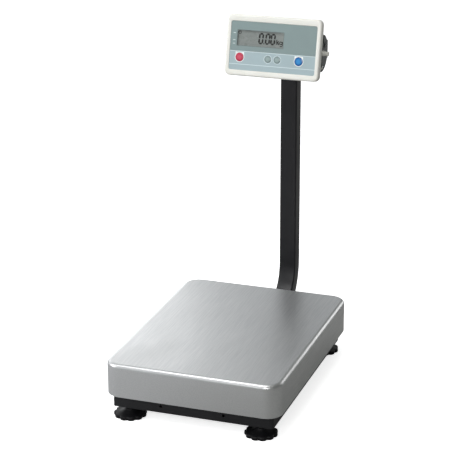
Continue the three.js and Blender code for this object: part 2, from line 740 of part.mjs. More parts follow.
const yokeSide = sideOn(fan, -yokeOut - 5, yokeOut + 5, 16)
  .add(alongX(bar(YOKE_HUB_RADIUS, -yokeOut - 5, yokeOut + 5)))
  .add(block(-yokeOut - 5, yokeOut + 5, webFront, yokeReach + 5, -webHalf, webHalf));
const yokeShape = slab(yokeBase, -60, 60, 0, 5)
  .intersect(yokeSide)
  .subtract(yokeWindow)
  .subtract(sideOn(stopSlot, -yokeOut - 5, yokeOut + 5, 10))
  .subtract(alongX(bar(clampHole, -yokeOut - 5, yokeOut + 5)))
  .subtract(alongY(bar(CABLE_HOLE_RADIUS + 1, yokeReach - 10, yokeReach + 10, 20)));
pivot.add(piece("yoke", yokeShape, ...BLACK_PAINT));

// A clamp stud runs from inside the head, through its end wall and the yoke, into a knob.
const studEnd = yokeOut + 8;
const studStart = studEnd - CLAMP_STUD_LENGTH;
const clampStud = alongX(bar(CLAMP_STUD_RADIUS, studStart, studEnd, 20));
const knobStart = yokeOut + GAP;
const grip = new THREE.Shape();
grip.moveTo(-KNOB_RADIUS + 0.6, knobStart + 1);
grip.lineTo(KNOB_RADIUS - 0.6, knobStart + 1);
grip.lineTo(KNOB_RADIUS - 2.2, knobStart + 8);
grip.lineTo(KNOB_RADIUS - 1.6, knobStart + KNOB_LENGTH - 1);
grip.lineTo(KNOB_RADIUS - 2.6, knobStart + KNOB_LENGTH);
grip.lineTo(2.6 - KNOB_RADIUS, knobStart + KNOB_LENGTH);
grip.lineTo(1.6 - KNOB_RADIUS, knobStart + KNOB_LENGTH - 1);
grip.lineTo(2.2 - KNOB_RADIUS, knobStart + 8);
grip.closePath();
const gripHalf = CLAMP_STUD_RADIUS + GAP + 1.6;
const clampKnob = slab(grip, -gripHalf, gripHalf)
  .rotate([0, 0, -90])
  .rotate([90, 0, 0])
  .add(
    alongX(
      turned([
        [0, knobStart],
        [KNOB_RADIUS, knobStart],
        [KNOB_RADIUS, knobStart + 2],
        [KNOB_RADIUS - 1.6, knobStart + 5],
        [0, knobStart + 5],
      ]),
    ),
  )
  .subtract(alongX(bar(clampHole, knobStart - 1, studEnd + GAP, 20)));
pivot.add(piece("clamp_stud_right", clampStud, ...ZINC));
pivot.add(piece("clamp_knob_right", clampKnob, ...IVORY));

// The left clamp has a low cap, slotted for a coin, in place of a knob.
const capEnd = knobStart + CAP_LENGTH;
const capStudEnd = capEnd - CAP_SLOT_DEPTH - 2 * GAP;
const capStud = alongX(bar(CLAMP_STUD_RADIUS, studStart, capStudEnd, 20));
const clampCap = alongX(
  turned([
    [0, knobStart],
    [KNOB_RADIUS, knobStart],
    [KNOB_RADIUS, capEnd - 1],
    [KNOB_RADIUS - 1, capEnd],
    [0, capEnd],
  ]),
)
  .subtract(
    block(
      capEnd - CAP_SLOT_DEPTH,
      capEnd + 1,
      -KNOB_RADIUS - 1,
      KNOB_RADIUS + 1,
      -CAP_SLOT_WIDTH / 2,
      CAP_SLOT_WIDTH / 2,
    ),
  )
  .subtract(alongX(bar(clampHole, knobStart - 1, capStudEnd + GAP / 2, 20)));
pivot.add(piece("clamp_stud_left", capStud.rotate([0, 0, 180]), ...ZINC));
pivot.add(piece("clamp_cap_left", clampCap.rotate([0, 0, 180]), ...IVORY));

// ---- Display head ----
// Its own axes start at the middle of the printed face: +Y runs into the head and +Z up its face.
const head = new THREE.Group();
head.rotation.x = -deg(HEAD_TILT);
pivot.add(head);
const face = new THREE.Group();
face.position.set(0, -PIVOT_DEPTH, PIVOT_DROP);
head.add(face);

const headHeight = HEAD_ABOVE + HEAD_BELOW;
const headMiddle = (HEAD_ABOVE - HEAD_BELOW) / 2;
const seatDepth = FACE_SHEET + GAP;
const wallBack = seatDepth + HEAD_WALL - 0.5;
const moduleFront = wallBack + GAP;
const boardFront = moduleFront + MODULE_THICKNESS + GAP;
const keyHoles = KEYS.map((key) =>
  alongY(bar(key.radius + GAP, -5, moduleFront + 1, 24)).translate([key.x, 0, key.h]),
);
const readoutX = (READOUT_LEFT + READOUT_RIGHT) / 2;
const readoutH = (READOUT_LOW + READOUT_HIGH) / 2;
const readoutWidth = READOUT_RIGHT - READOUT_LEFT;
const readoutHeight = READOUT_HIGH - READOUT_LOW;

let frontShell = standing(
  roundedRectangle(HEAD_WIDTH, headHeight, HEAD_CORNER, 0, headMiddle),
  -HEAD_RIM,
  HEAD_DEPTH + 20,
  HEAD_EDGE,
  5,
  3,
);
frontShell = frontShell
  .subtract(block(-HEAD_WIDTH, HEAD_WIDTH, HEAD_DEPTH, HEAD_DEPTH + 30, -headHeight, headHeight))
  .subtract(
    standing(
      roundedRectangle(
        HEAD_WIDTH - 2 * HEAD_WALL,
        headHeight - 2 * HEAD_WALL,
        HEAD_CORNER - HEAD_WALL,
        0,
        headMiddle,
      ),
      wallBack,
      HEAD_DEPTH + 1,
      0,
      5,
    ),
  )
  .subtract(
    standing(
      roundedRectangle(FACE_WIDTH + 2 * GAP, FACE_HEIGHT + 2 * GAP, FACE_CORNER + GAP),
      -HEAD_RIM - 5,
      seatDepth,
      0,
      3,
    ),
  )
  .subtract(
    standing(
      roundedRectangle(readoutWidth + 3.6, readoutHeight + 3.6, 1, readoutX, readoutH),
      -5,
      wallBack + 1,
      0,
      1,
    ),
  );
for (const hole of keyHoles) frontShell = frontShell.subtract(hole);
const bossX = BOARD_WIDTH / 2 - 6;
for (const x of [-bossX, bossX]) {
  for (const h of [BOARD_LOW + 5, BOARD_HIGH - 5]) {
    const boss = alongY(bar(3, wallBack - 0.5, boardFront - GAP, 12)).translate([x, 0, h]);
    frontShell = frontShell.add(boss);
  }
}
face.add(piece("front_shell", frontShell, ...IVORY));

// The rear shell is a back plate with a hollow drum, which turns between the yoke's arms.
const drumProfile = [[0, -DRUM_HALF_LENGTH]];
for (let i = 0; i <= 3; i += 1) {
  const angle = deg(30 * i);
  const radius = DRUM_RADIUS - DRUM_EDGE * (1 - Math.sin(angle));
  drumProfile.push([radius, -DRUM_HALF_LENGTH + DRUM_EDGE * (1 - Math.cos(angle))]);
}
for (let i = 3; i >= 0; i -= 1) {
  const angle = deg(30 * i);
  const radius = DRUM_RADIUS - DRUM_EDGE * (1 - Math.sin(angle));
  drumProfile.push([radius, DRUM_HALF_LENGTH - DRUM_EDGE * (1 - Math.cos(angle))]);
}
drumProfile.push([0, DRUM_HALF_LENGTH]);
const atPivot = (shape) => shape.translate([0, PIVOT_DEPTH, -PIVOT_DROP]);
const plateFront = HEAD_DEPTH - HEAD_WALL;
const ahead = block(-HEAD_WIDTH, HEAD_WIDTH, -100, plateFront, -100, 100);
const drumOutside = atPivot(alongX(turned(drumProfile, 40)));
const drumInside = atPivot(
  alongX(bar(DRUM_RADIUS - DRUM_WALL, DRUM_WALL - DRUM_HALF_LENGTH, DRUM_HALF_LENGTH - DRUM_WALL, 40)),
);
const lid = HEAD_WALL + GAP;
const backPlate = standing(
  roundedRectangle(HEAD_WIDTH - 2 * lid, headHeight - 2 * lid, HEAD_CORNER - lid, 0, headMiddle),
  plateFront,
  HEAD_DEPTH,
  0,
  5,
);
let rearShell = drumOutside.subtract(ahead).add(backPlate).subtract(drumInside);
const drumEnd = DRUM_HALF_LENGTH - DRUM_WALL;
const pinY = STOP_PIN_REACH * Math.cos(deg(STOP_PIN_ANGLE));
const pinZ = STOP_PIN_REACH * Math.sin(deg(STOP_PIN_ANGLE));
for (const side of [0, 180]) {
  const boss = alongX(bar(clampHole + 4, drumEnd - 5, drumEnd + 1)).rotate([0, 0, side]);
  const stopPin = alongX(bar(STOP_PIN_RADIUS, drumEnd + 1, yokeOut - 0.5, 16)).translate([0, pinY, pinZ]);
  const pin = side ? stopPin.mirror([1, 0, 0]) : stopPin;
  rearShell = rearShell.add(atPivot(boss)).add(atPivot(pin));
}
const inletHole = bar(INLET_RADIUS + GAP, -DRUM_RADIUS - 10, -DRUM_RADIUS / 2, 32);
rearShell = rearShell
  .subtract(atPivot(alongX(bar(clampHole, -DRUM_HALF_LENGTH - 1, DRUM_HALF_LENGTH + 1, 20))))
  .subtract(atPivot(inletHole.translate([INLET_X, 10, 0])));
face.add(piece("rear_shell", rearShell, ...IVORY));

// A rubber friction pad lies between each drum end and the yoke, and is cut off behind the front shell.
const padStart = DRUM_HALF_LENGTH + GAP;
const padEnd = yokeIn - GAP;
const padBore = bar(clampHole, padStart - 1, padEnd + 1, 20);
const padDisc = alongX(bar(PAD_RADIUS, padStart, padEnd, 28).subtract(padBore));
const padCut = block(-HEAD_WIDTH, HEAD_WIDTH, -100, HEAD_DEPTH + 2 * GAP - PIVOT_DEPTH, -100, 100);
const frictionPad = padDisc.subtract(padCut);
face.add(piece("friction_pad_right", atPivot(frictionPad), ...RUBBER));
face.add(piece("friction_pad_left", atPivot(frictionPad.mirror([1, 0, 0])), ...RUBBER));

const faceOutline = roundedRectangle(FACE_WIDTH, FACE_HEIGHT, FACE_CORNER);
let faceSheet = standing(faceOutline, 0, FACE_SHEET, 0, 3).subtract(
  standing(roundedRectangle(readoutWidth, readoutHeight, 1, readoutX, readoutH), -1, FACE_SHEET + 1, 0, 1),
);
for (const hole of keyHoles) faceSheet = faceSheet.subtract(hole);
face.add(piece("face_sheet", faceSheet, 0x8aa09f, 0.45, 0));

const readoutWindow = standing(
  roundedRectangle(readoutWidth + 3, readoutHeight + 3, 1, readoutX, readoutH),
  seatDepth,
  seatDepth + WINDOW_SHEET,
  0,
  1,
);
face.add(piece("readout_window", readoutWindow, 0xdfe6e6, 0.1, 0));

const readoutModule = standing(
  roundedRectangle(readoutWidth + 5, readoutHeight + 5, 1, readoutX, readoutH),
  moduleFront,
  moduleFront + MODULE_THICKNESS,
  0,
  1,
);
face.add(piece("readout_module", readoutModule, 0x82827f, 0.3, 0));

const boardHalf = BOARD_WIDTH / 2;
const boardBack = boardFront + BOARD_THICKNESS;
const circuitBoard = block(-boardHalf, boardHalf, boardFront, boardBack, BOARD_LOW, BOARD_HIGH);
face.add(piece("circuit_board", circuitBoard, 0x1f5a3a, 0.6, 0));

// Each key shows through the sheet and has a flange behind the wall and a stem that reaches the board.
for (const key of KEYS) {
  const flangeStart = wallBack + GAP;
  const stemEnd = boardFront - KEY_TRAVEL - 0.1;
  const shape = turned(
    [
      [0, 0.9],
      [key.radius - 1.6, 0.7],
      [key.radius, 0],
      [key.radius, -flangeStart],
      [key.radius + KEY_FLANGE, -flangeStart],
      [key.radius + KEY_FLANGE, -flangeStart - 1],
      [3, -flangeStart - 1],
      [3, -stemEnd],
      [0, -stemEnd],
    ],
    24,
  ).rotate([90, 0, 0]);
  const mesh = piece(key.name, shape, key.color, 0.3, 0);
  mesh.position.set(key.x, 0, key.h);
  face.add(mesh);
}

// The battery pack lies inside the drum.
const packHalf = BATTERY_WIDTH / 2;
const packY = PIVOT_DEPTH + 1.5;
const packShape = block(-packHalf, packHalf, packY, packY + 35, -30, 20);
face.add(piece("battery_pack", packShape, 0x3d4a66, 0.6, 0));

// The power inlet is a round socket let into the drum's underside.
const inletBottom = -DRUM_RADIUS - 0.8;
const inlet = bar(INLET_RADIUS, inletBottom, inletBottom + 13, 32).subtract(
  bar(INLET_BORE, inletBottom - 1, inletBottom + 9, 32),
);
face.add(piece("power_inlet", atPivot(inlet.translate([INLET_X, 10, 0])), ...RUBBER));

// ---- Origin under the middle of the footprint ----
const extent = new THREE.Box3().setFromObject(scale);
scale.position.y = -(extent.min.y + extent.max.y) / 2;

export default scale;
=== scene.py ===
"""An animal weighing scale: a stainless pan on a levelled base, with a tilting display on a bent column."""
import json
import math

import bmesh
import bpy
import numpy as np
from mathutils import Matrix, Vector
from mathutils.geometry import tessellate_polygon


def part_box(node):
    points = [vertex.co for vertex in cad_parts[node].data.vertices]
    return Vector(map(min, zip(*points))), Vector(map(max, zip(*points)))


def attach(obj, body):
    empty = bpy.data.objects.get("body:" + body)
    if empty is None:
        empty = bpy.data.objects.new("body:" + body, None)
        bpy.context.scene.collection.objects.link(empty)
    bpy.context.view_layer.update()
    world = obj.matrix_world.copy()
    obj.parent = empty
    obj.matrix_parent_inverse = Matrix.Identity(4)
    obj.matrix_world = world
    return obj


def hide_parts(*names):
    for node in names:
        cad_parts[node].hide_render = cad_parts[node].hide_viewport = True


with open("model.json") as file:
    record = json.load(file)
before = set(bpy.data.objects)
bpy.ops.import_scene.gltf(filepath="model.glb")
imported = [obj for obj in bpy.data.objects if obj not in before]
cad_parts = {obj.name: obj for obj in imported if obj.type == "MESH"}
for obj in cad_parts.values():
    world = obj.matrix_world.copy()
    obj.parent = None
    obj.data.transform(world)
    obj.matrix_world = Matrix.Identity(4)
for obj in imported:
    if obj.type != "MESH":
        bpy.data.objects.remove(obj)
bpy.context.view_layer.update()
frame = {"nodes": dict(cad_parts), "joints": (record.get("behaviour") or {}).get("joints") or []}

# ---- The camera and the plain room ----
# The camera stands a little above the pan, well back and to the user's right, with a long lens.
# The room is a pale floor under broad soft lights, darker to the right, which the polished pan mirrors.
pan_low, pan_high = (np.array(corner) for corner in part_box("weighing_pan"))
pan_middle = np.array([(pan_low[0] + pan_high[0]) / 2, (pan_low[1] + pan_high[1]) / 2, 0.0])

camera = bpy.data.objects.new("camera", bpy.data.cameras.new("camera"))
camera.data.lens = 140.57
camera.data.sensor_width = 36.0
camera.data.clip_end = 60.0
right = Vector((0.9440, 0.3299, -0.0041)).normalized()
ahead = Vector((-0.3120, 0.8887, -0.3359)).normalized()
above = right.cross(ahead).normalized()
turn = Matrix((right, above, -ahead)).transposed()
stand = Vector(pan_middle) + Vector((1.1741, -3.3779, 1.6444))
camera.matrix_world = Matrix.Translation(stand) @ turn.to_4x4()
bpy.context.scene.collection.objects.link(camera)
bpy.context.scene.camera = camera
bpy.context.scene.view_settings.view_transform = "Standard"


def soft_light(name, place, aim, size, power):
    """A rectangular soft box at one place, turned to face another, that the camera itself does not see."""
    lamp = bpy.data.lights.new(name, "AREA")
    lamp.shape = "RECTANGLE"
    lamp.size, lamp.size_y = size
    lamp.energy = power
    box = bpy.data.objects.new(name, lamp)
    facing = (Vector(aim) - Vector(place)).to_track_quat("-Z", "Y")
    box.matrix_world = Matrix.Translation(place) @ facing.to_matrix().to_4x4()
    box.visible_camera = False
    bpy.context.scene.collection.objects.link(box)


soft_light("top_box", (-0.3, -0.7, 2.6), (0, 0, 0.3), (1.5, 1.2), 24)
soft_light("left_box", (-2.6, -1.2, 1.6), (0, 0, 0.4), (1.6, 1.8), 30)
soft_light("front_box", (0.6, -3.6, 1.9), (0, 0.2, 0.5), (1.6, 1.2), 42)
soft_light("back_left_box", (-1.85, 1.75, 1.0), (-0.1, -0.1, 0.12), (2.1, 1.4), 10.5)
soft_light("back_right_box", (1.3, 2.15, 0.85), (0.19, 0.0, 0.12), (1.4, 1.2), 7.5)

world = bpy.data.worlds.new("plain_room")
world.use_nodes = True
bpy.context.scene.world = world


def new_material(name):
    """An empty node material with a Principled shader wired to its output."""
    material = bpy.data.materials.new(name)
    material.use_nodes = True
    tree = material.node_tree
    tree.nodes.clear()
    shader = tree.nodes.new("ShaderNodeBsdfPrincipled")
    output = tree.nodes.new("ShaderNodeOutputMaterial")
    tree.links.new(shader.outputs["BSDF"], output.inputs["Surface"])
    return material, tree, shader


def feed(shader, name, value):
    """Wires a value to one of the shader's inputs."""
    shader.id_data.links.new(value, shader.inputs[name])


def add(tree, kind, inputs=(), **settings):
    """One node with its settings, and its inputs given as values or as sockets to wire from."""
    made = tree.nodes.new(kind)
    for name, value in settings.items():
        setattr(made, name, value)
    for key, value in dict(inputs).items():
        if isinstance(value, bpy.types.NodeSocket):
            tree.links.new(value, made.inputs[key])
        else:
            made.inputs[key].default_value = value
    return made


def ranged(tree, value, low, high, to_low=0.0, to_high=1.0):
    """A value's span from low to high, carried smoothly to another span and held at its ends."""
    spans = {"Value": value, "From Min": low, "From Max": high, "To Min": to_low, "To Max": to_high}
    return add(tree, "ShaderNodeMapRange", spans, interpolation_type="SMOOTHSTEP").outputs["Result"]


def coordinate(tree, kind):
    """One kind of coordinate of the point being shaded."""
    return add(tree, "ShaderNodeTexCoord").outputs[kind]


def sideways(tree, kind):
    """How far to the right a point or a direction lies."""
    return add(tree, "ShaderNodeSeparateXYZ", {"Vector": coordinate(tree, kind)}).outputs["X"]


def blended(tree, amount, first, second):
    """A colour between two colours, by an amount from 0 to 1."""
    mix = add(tree, "ShaderNodeMix", data_type="RGBA")
    for socket, value in ((mix.inputs[0], amount), (mix.inputs[6], first), (mix.inputs[7], second)):
        if isinstance(value, bpy.types.NodeSocket):
            tree.links.new(value, socket)
        else:
            socket.default_value = (*value, 1.0) if isinstance(value, tuple) else value
    return mix.outputs[2]


tree = world.node_tree
side = ranged(tree, sideways(tree, "Generated"), -0.6, 0.15)
room = blended(tree, side, (0.72, 0.74, 0.76), (0.17, 0.175, 0.168))
seen = add(tree, "ShaderNodeLightPath").outputs["Is Camera Ray"]
tree.links.new(blended(tree, seen, room, (1.0, 1.0, 1.0)), tree.nodes["Background"].inputs["Color"])

floor_mesh = bpy.data.meshes.new("floor")
floor_mesh.from_pydata([(-14, -14, 0), (14, -14, 0), (14, 14, 0), (-14, 14, 0)], [], [(0, 1, 2, 3)])
floor = bpy.data.objects.new("floor", floor_mesh)
bpy.context.scene.collection.objects.link(floor)
pale, tree, shader = new_material("pale_floor")
seen = add(tree, "ShaderNodeLightPath").outputs["Is Camera Ray"]
# In reflections the floor is grey and painted darker to the right, a painted shade that the pan's skirts
# mirror; the camera sees it glow evenly white.
side = ranged(tree, sideways(tree, "Object"), -0.45, 0.3)
floor_painted_shade = blended(tree, side, (0.53, 0.53, 0.535), (0.33, 0.33, 0.322))
feed(shader, "Base Color", blended(tree, seen, floor_painted_shade, (0.93, 0.93, 0.93)))
feed(shader, "Emission Color", blended(tree, seen, (0.0, 0.0, 0.0), (1.0, 1.0, 1.0)))
shader.inputs["Emission Strength"].default_value = 0.72
shader.inputs["Roughness"].default_value = 0.9
shader.inputs["Specular IOR Level"].default_value = 0.0
floor_mesh.materials.append(pale)

# ---- Base frame ----
# Four folded steel channels and a middle channel, welded together and powder coated black.
# The coat has a fine orange-peel texture, and it is thinner and a little greyer along the edges.


def noise(tree, scale, detail=3.0, stretch=(1, 1, 1), rough=0.55):
    """Cloudy noise over the piece's own coordinates, drawn out by a stretch along each axis."""
    place = coordinate(tree, "Object")
    drawn = add(tree, "ShaderNodeMapping", {"Vector": place, "Scale": stretch}).outputs["Vector"]
    settings = {"Vector": drawn, "Scale": scale, "Detail": detail, "Roughness": rough}
    return add(tree, "ShaderNodeTexNoise", settings).outputs["Fac"]


def dented(tree, shader, height, strength, distance):
    """A fine relief from a height pattern, added to the shader's normal."""
    bump = add(tree, "ShaderNodeBump", {"Height": height, "Strength": strength, "Distance": distance})
    feed(shader, "Normal", bump.outputs["Normal"])


def near_edge(tree, radius):
    """How close a point lies to a sharp edge: how far a rounded normal there leans from the flat one."""
    rounded = add(tree, "ShaderNodeBevel", {"Radius": radius}, samples=4).outputs["Normal"]
    flat = add(tree, "ShaderNodeNewGeometry").outputs["Normal"]
    same = add(tree, "ShaderNodeVectorMath", {0: rounded, 1: flat}, operation="DOT_PRODUCT").outputs["Value"]
    return ranged(tree, same, 0.99, 0.86)


def dress(names, material):
    """Gives CAD pieces a finished material in place of their plain one."""
    for name in names:
        mesh = frame["nodes"][name].data
        mesh.materials.clear()
        mesh.materials.append(material)


powder_black, tree, shader = new_material("powder_black")
cloud = noise(tree, 9, 4)
wear = near_edge(tree, 0.0008)
coat = blended(tree, ranged(tree, cloud, 0.35, 0.7), (0.006, 0.006, 0.0075), (0.010, 0.010, 0.012))
feed(shader, "Base Color", blended(tree, wear, coat, (0.022, 0.022, 0.024)))
feed(shader, "Roughness", ranged(tree, cloud, 0.3, 0.75, 0.36, 0.5))
dented(tree, shader, noise(tree, 900, 2), 0.12, 0.0004)
shader.inputs["Specular IOR Level"].default_value = 0.4
dress(["front_rail", "rear_rail", "left_rail", "right_rail", "centre_beam"], powder_black)
dress(["column_flange", "display_arm"], powder_black)

# ---- Screws, nuts and spacers ----
# Zinc-plated steel: the foot studs, their welded nuts, the stop, flange and clamp bolts and the two spacers.
# Plating shows fine turning marks and soft cloudy patches of a warmer and a bluer grey.
zinc_plate, tree, shader = new_material("zinc_plate")
cloud = noise(tree, 60, 4)
feed(shader, "Base Color", blended(tree, cloud, (0.56, 0.58, 0.62), (0.66, 0.64, 0.58)))
feed(shader, "Roughness", ranged(tree, noise(tree, 220, 3), 0.3, 0.7, 0.24, 0.42))
shader.inputs["Metallic"].default_value = 1.0
dented(tree, shader, noise(tree, 90, 2, (1, 1, 40)), 0.1, 0.0002)
corners = ("front_left", "front_right", "rear_left", "rear_right")
dress(["lower_spacer", "upper_spacer", "flange_bolt_left", "flange_bolt_right"], zinc_plate)
dress(["clamp_stud_left", "clamp_stud_right"], zinc_plate)
for part in ("foot_stud", "foot_nut", "overload_stop"):
    dress([f"{part}_{corner}" for corner in corners], zinc_plate)

# ---- Load cell and platform carrier ----
# The cell is a milled aluminium bar; the spine and arms are folded steel with a dull grey zinc coat.
# Four moulded rubber cushions at the arms' ends carry the pan.
milled, tree, shader = new_material("milled_aluminium")
lines = noise(tree, 40, 3, (1, 22, 1))
feed(shader, "Base Color", blended(tree, lines, (0.66, 0.67, 0.69), (0.78, 0.79, 0.8)))
feed(shader, "Roughness", ranged(tree, lines, 0.3, 0.7, 0.3, 0.44))
shader.inputs["Metallic"].default_value = 1.0
dented(tree, shader, lines, 0.15, 0.0002)
dress(["load_cell"], milled)

dull_zinc, tree, shader = new_material("dull_zinc_coat")
spangle = {"Vector": coordinate(tree, "Object"), "Scale": 140.0}
flakes = add(tree, "ShaderNodeTexVoronoi", spangle).outputs["Color"]
grey = add(tree, "ShaderNodeRGBToBW", {"Color": flakes}).outputs["Val"]
feed(shader, "Base Color", blended(tree, grey, (0.3, 0.31, 0.32), (0.42, 0.43, 0.44)))
feed(shader, "Roughness", ranged(tree, grey, 0.2, 0.8, 0.36, 0.56))
shader.inputs["Metallic"].default_value = 0.9
dress(["platform_spine", "platform_arm_front", "platform_arm_rear"], dull_zinc)

moulded_rubber, tree, shader = new_material("moulded_rubber")
speck = noise(tree, 35, 4)
feed(shader, "Base Color", blended(tree, speck, (0.012, 0.012, 0.013), (0.024, 0.024, 0.025)))
feed(shader, "Roughness", ranged(tree, speck, 0.3, 0.7, 0.44, 0.6))
dented(tree, shader, noise(tree, 1400, 2), 0.15, 0.0003)
dress([f"cushion_{corner}" for corner in corners], moulded_rubber)
dress(["friction_pad_left", "friction_pad_right"], moulded_rubber)

# ---- Levelling feet ----
# Each pad is black moulded plastic, a scalloped hand wheel under a low waisted cone.
# A pocket inside holds the stud's head, so the pad is turned by its rim to raise or lower its corner.
MM = 0.001
SCALLOPS = 11
SCALLOP_DEPTH = 3.4 * MM


def surface(points, around=True, along=False, first_cap=False, last_cap=False):
    """Quads between neighbouring rows and columns of a grid of points.

    The columns may close on themselves, as may the rows, and the first and last rows may have a flat cap.
    """
    rows, cols = points.shape[:2]
    steps_up = np.arange(rows if along else rows - 1)
    steps_round = np.arange(cols if around else cols - 1)
    r, c = np.meshgrid(steps_up, steps_round, indexing="ij")
    below, over = r * cols, ((r + 1) % rows) * cols
    following = (c + 1) % cols
    faces = np.stack([below + c, below + following, over + following, over + c], -1).reshape(-1, 4).tolist()
    if first_cap:
        faces.append(list(range(cols))[::-1])
    if last_cap:
        faces.append([(rows - 1) * cols + k for k in range(cols)])
    return points.reshape(-1, 3), faces


def make_piece(name, shells, material, body, node=None, crease=35.0):
    """One mesh object from a list of closed shells.

    Doubles are merged, faces are turned outwards, and edges past the crease angle are kept sharp.
    """
    points, faces, count = [], [], 0
    for shell_points, shell_faces in shells:
        points.append(np.asarray(shell_points, float))
        faces += [[count + k for k in face] for face in shell_faces]
        count += len(shell_points)
    mesh = bpy.data.meshes.new(name)
    mesh.from_pydata(np.concatenate(points).tolist(), [], faces)
    work = bmesh.new()
    work.from_mesh(mesh)
    bmesh.ops.remove_doubles(work, verts=work.verts, dist=1e-6)
    bmesh.ops.recalc_face_normals(work, faces=work.faces)
    work.to_mesh(mesh)
    work.free()
    mesh.polygons.foreach_set("use_smooth", np.ones(len(mesh.polygons), bool))
    mesh.set_sharp_from_angle(angle=math.radians(crease))
    mesh.materials.append(material)
    made = bpy.data.objects.new(name, mesh)
    bpy.context.scene.collection.objects.link(made)
    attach(made, body)
    if node:
        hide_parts(node)
    return made


def arc(centre, radius, start, end, steps):
    """Points round part of a circle in a section plane, from a start angle to an end angle in degrees."""
    angle = np.radians(np.linspace(start, end, steps))
    return np.stack([centre[0] + radius * np.cos(angle), centre[1] + radius * np.sin(angle)], -1)


def foot_surface(centre):
    """A profile turned about the stud, whose radius dips SCALLOPS times round the rim.

    The dips fade with the radius, so the cone above the rim is plain.
    """
    hollow = np.array([[1.0, 4.7], [8.3, 4.7], [8.3, 9.3], [5.3, 9.3], [5.3, 16.6]])
    top = arc((6.8, 15.5), 1.5, 180, 90, 5)
    crown = arc((9.3, 15.2), 1.8, 90, 20, 6)
    fall = np.sin(np.linspace(0, np.pi / 2, 12)) ** 0.8
    cone = np.stack([np.linspace(11.6, 27.6, 12), 14.8 - 6.6 * fall], -1)
    rim = np.concatenate([arc((33.1, 5.6), 2.4, 84, 0, 7), arc((33.7, 1.8), 1.8, 0, -90, 6)])
    under = np.array([[31.0, 0.0], [29.6, 0.9], [8.0, 0.9], [1.0, 0.9]])
    profile = np.concatenate([hollow, top, crown, cone, rim, under])
    angle = np.linspace(0, 2 * np.pi, SCALLOPS * 14, endpoint=False)
    radius, height = profile[:, :1] * MM, profile[:, 1:] * MM
    dip = (0.5 - 0.5 * np.cos(SCALLOPS * angle)) ** 2.2
    share = np.clip((radius / (36 * MM) - 0.6) / 0.35, 0, 1) ** 2
    spread = radius - SCALLOP_DEPTH * dip * share
    x, y = centre[0] + spread * np.cos(angle), centre[1] + spread * np.sin(angle)
    return np.stack([x, y, height + 0 * angle], -1)


foot_black, tree, shader = new_material("foot_black")
speck = noise(tree, 50, 4)
feed(shader, "Base Color", blended(tree, speck, (0.004, 0.004, 0.005), (0.01, 0.01, 0.011)))
feed(shader, "Roughness", ranged(tree, speck, 0.3, 0.7, 0.38, 0.52))
shader.inputs["Specular IOR Level"].default_value = 0.2
dented(tree, shader, noise(tree, 700, 2), 0.08, 0.0003)
for corner in corners:
    low, high = (np.array(end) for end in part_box(f"foot_stud_{corner}"))
    wheel = surface(foot_surface((low + high) / 2), first_cap=True, last_cap=True)
    body, node = f"foot_{corner}", f"foot_pad_{corner}"
    make_piece(f"foot_wheel_{corner}", [wheel], foot_black, body, node)

# ---- Weighing pan ----
# One sheet of 1.5 mm stainless steel, its skirt turned down over a 9 mm roll, its corners welded and ground.
# It is brushed along its length, so its highlights spread across it and its edges catch bright lines.
PAN_ROLL = 9 * MM
PAN_CORNER = 36 * MM
PAN_SHEET = 1.5 * MM


def rounded_rows(width, height, radius, steps):
    """Loops round rectangles with rounded corners, one row for each width, height and radius.

    Each point is its corner's centre plus the radius at an angle, with even angles round each corner.
    """
    quarter = np.radians(np.linspace(0, 90, steps))
    turns = np.concatenate([quarter + k * np.pi / 2 for k in range(4)])
    side_x = np.repeat([1, -1, -1, 1], steps)
    side_y = np.repeat([1, 1, -1, -1], steps)
    width, height, radius = (np.reshape(value, (-1, 1)) for value in (width, height, radius))
    x = side_x * (width / 2 - radius) + radius * np.cos(turns)
    y = side_y * (height / 2 - radius) + radius * np.sin(turns)
    return x, y


def pan_surface():
    """Loops of the pan's outline, each drawn in by an inset and set at a height.

    They run out over the top, round the roll, down the skirt, and back up the inside one sheet further in.
    """
    size = pan_high - pan_low
    turned = np.radians(np.linspace(0, 90, 9))
    top, bottom = pan_high[2], pan_low[2]
    insets = [0.19, 0.15, 0.1, 0.05, 0.02, 0.0098]
    heights = [top] * 6
    insets += list(PAN_ROLL * (1 - np.sin(turned)))
    heights += list(top - PAN_ROLL * (1 - np.cos(turned)))
    insets += [0.0, 0.0, 0.0005, 0.001, PAN_SHEET, PAN_SHEET]
    heights += [bottom + 0.03, bottom + 0.0005, bottom, bottom, bottom + 0.0005, bottom + 0.03]
    small = PAN_ROLL - PAN_SHEET
    insets += list(PAN_SHEET + small * (1 - np.sin(turned[::-1])))
    heights += list(top - PAN_SHEET - small * (1 - np.cos(turned[::-1])))
    insets += [0.05, 0.15, 0.19]
    heights += [top - PAN_SHEET] * 3
    inset, height = np.array(insets), np.array(heights)
    corner = np.maximum(PAN_CORNER - inset, 0.002)
    x, y = rounded_rows(size[0] - 2 * inset, size[1] - 2 * inset, corner, 14)
    return np.stack([x + pan_middle[0], y + pan_middle[1], height[:, None] + 0 * x], -1)


brushed, tree, shader = new_material("brushed_stainless")
strokes = noise(tree, 34, 5, (13, 0.32, 13), 0.72)
hair = noise(tree, 330, 2, (9, 0.06, 9), 0.5)
smear = noise(tree, 5, 3, (1.4, 0.7, 1))
tone = blended(tree, ranged(tree, strokes, 0.34, 0.66), (0.585, 0.595, 0.6), (0.675, 0.68, 0.68))
handled = ranged(tree, smear, 0.4, 0.75, 0.0, 0.35)
feed(shader, "Base Color", blended(tree, handled, tone, (0.57, 0.575, 0.57)))
brush_rough = ranged(tree, hair, 0.3, 0.7, 0.31, 0.39)
smear_rough = ranged(tree, smear, 0.35, 0.75, -0.02, 0.05)
rough = add(tree, "ShaderNodeMath", {0: brush_rough, 1: smear_rough}, operation="ADD")
feed(shader, "Roughness", rough.outputs[0])
shader.inputs["Metallic"].default_value = 1.0
dented(tree, shader, hair, 0.03, 0.00005)
pan_shell = surface(pan_surface(), first_cap=True, last_cap=True)
make_piece("brushed_pan", [pan_shell], brushed, "pan", "weighing_pan")

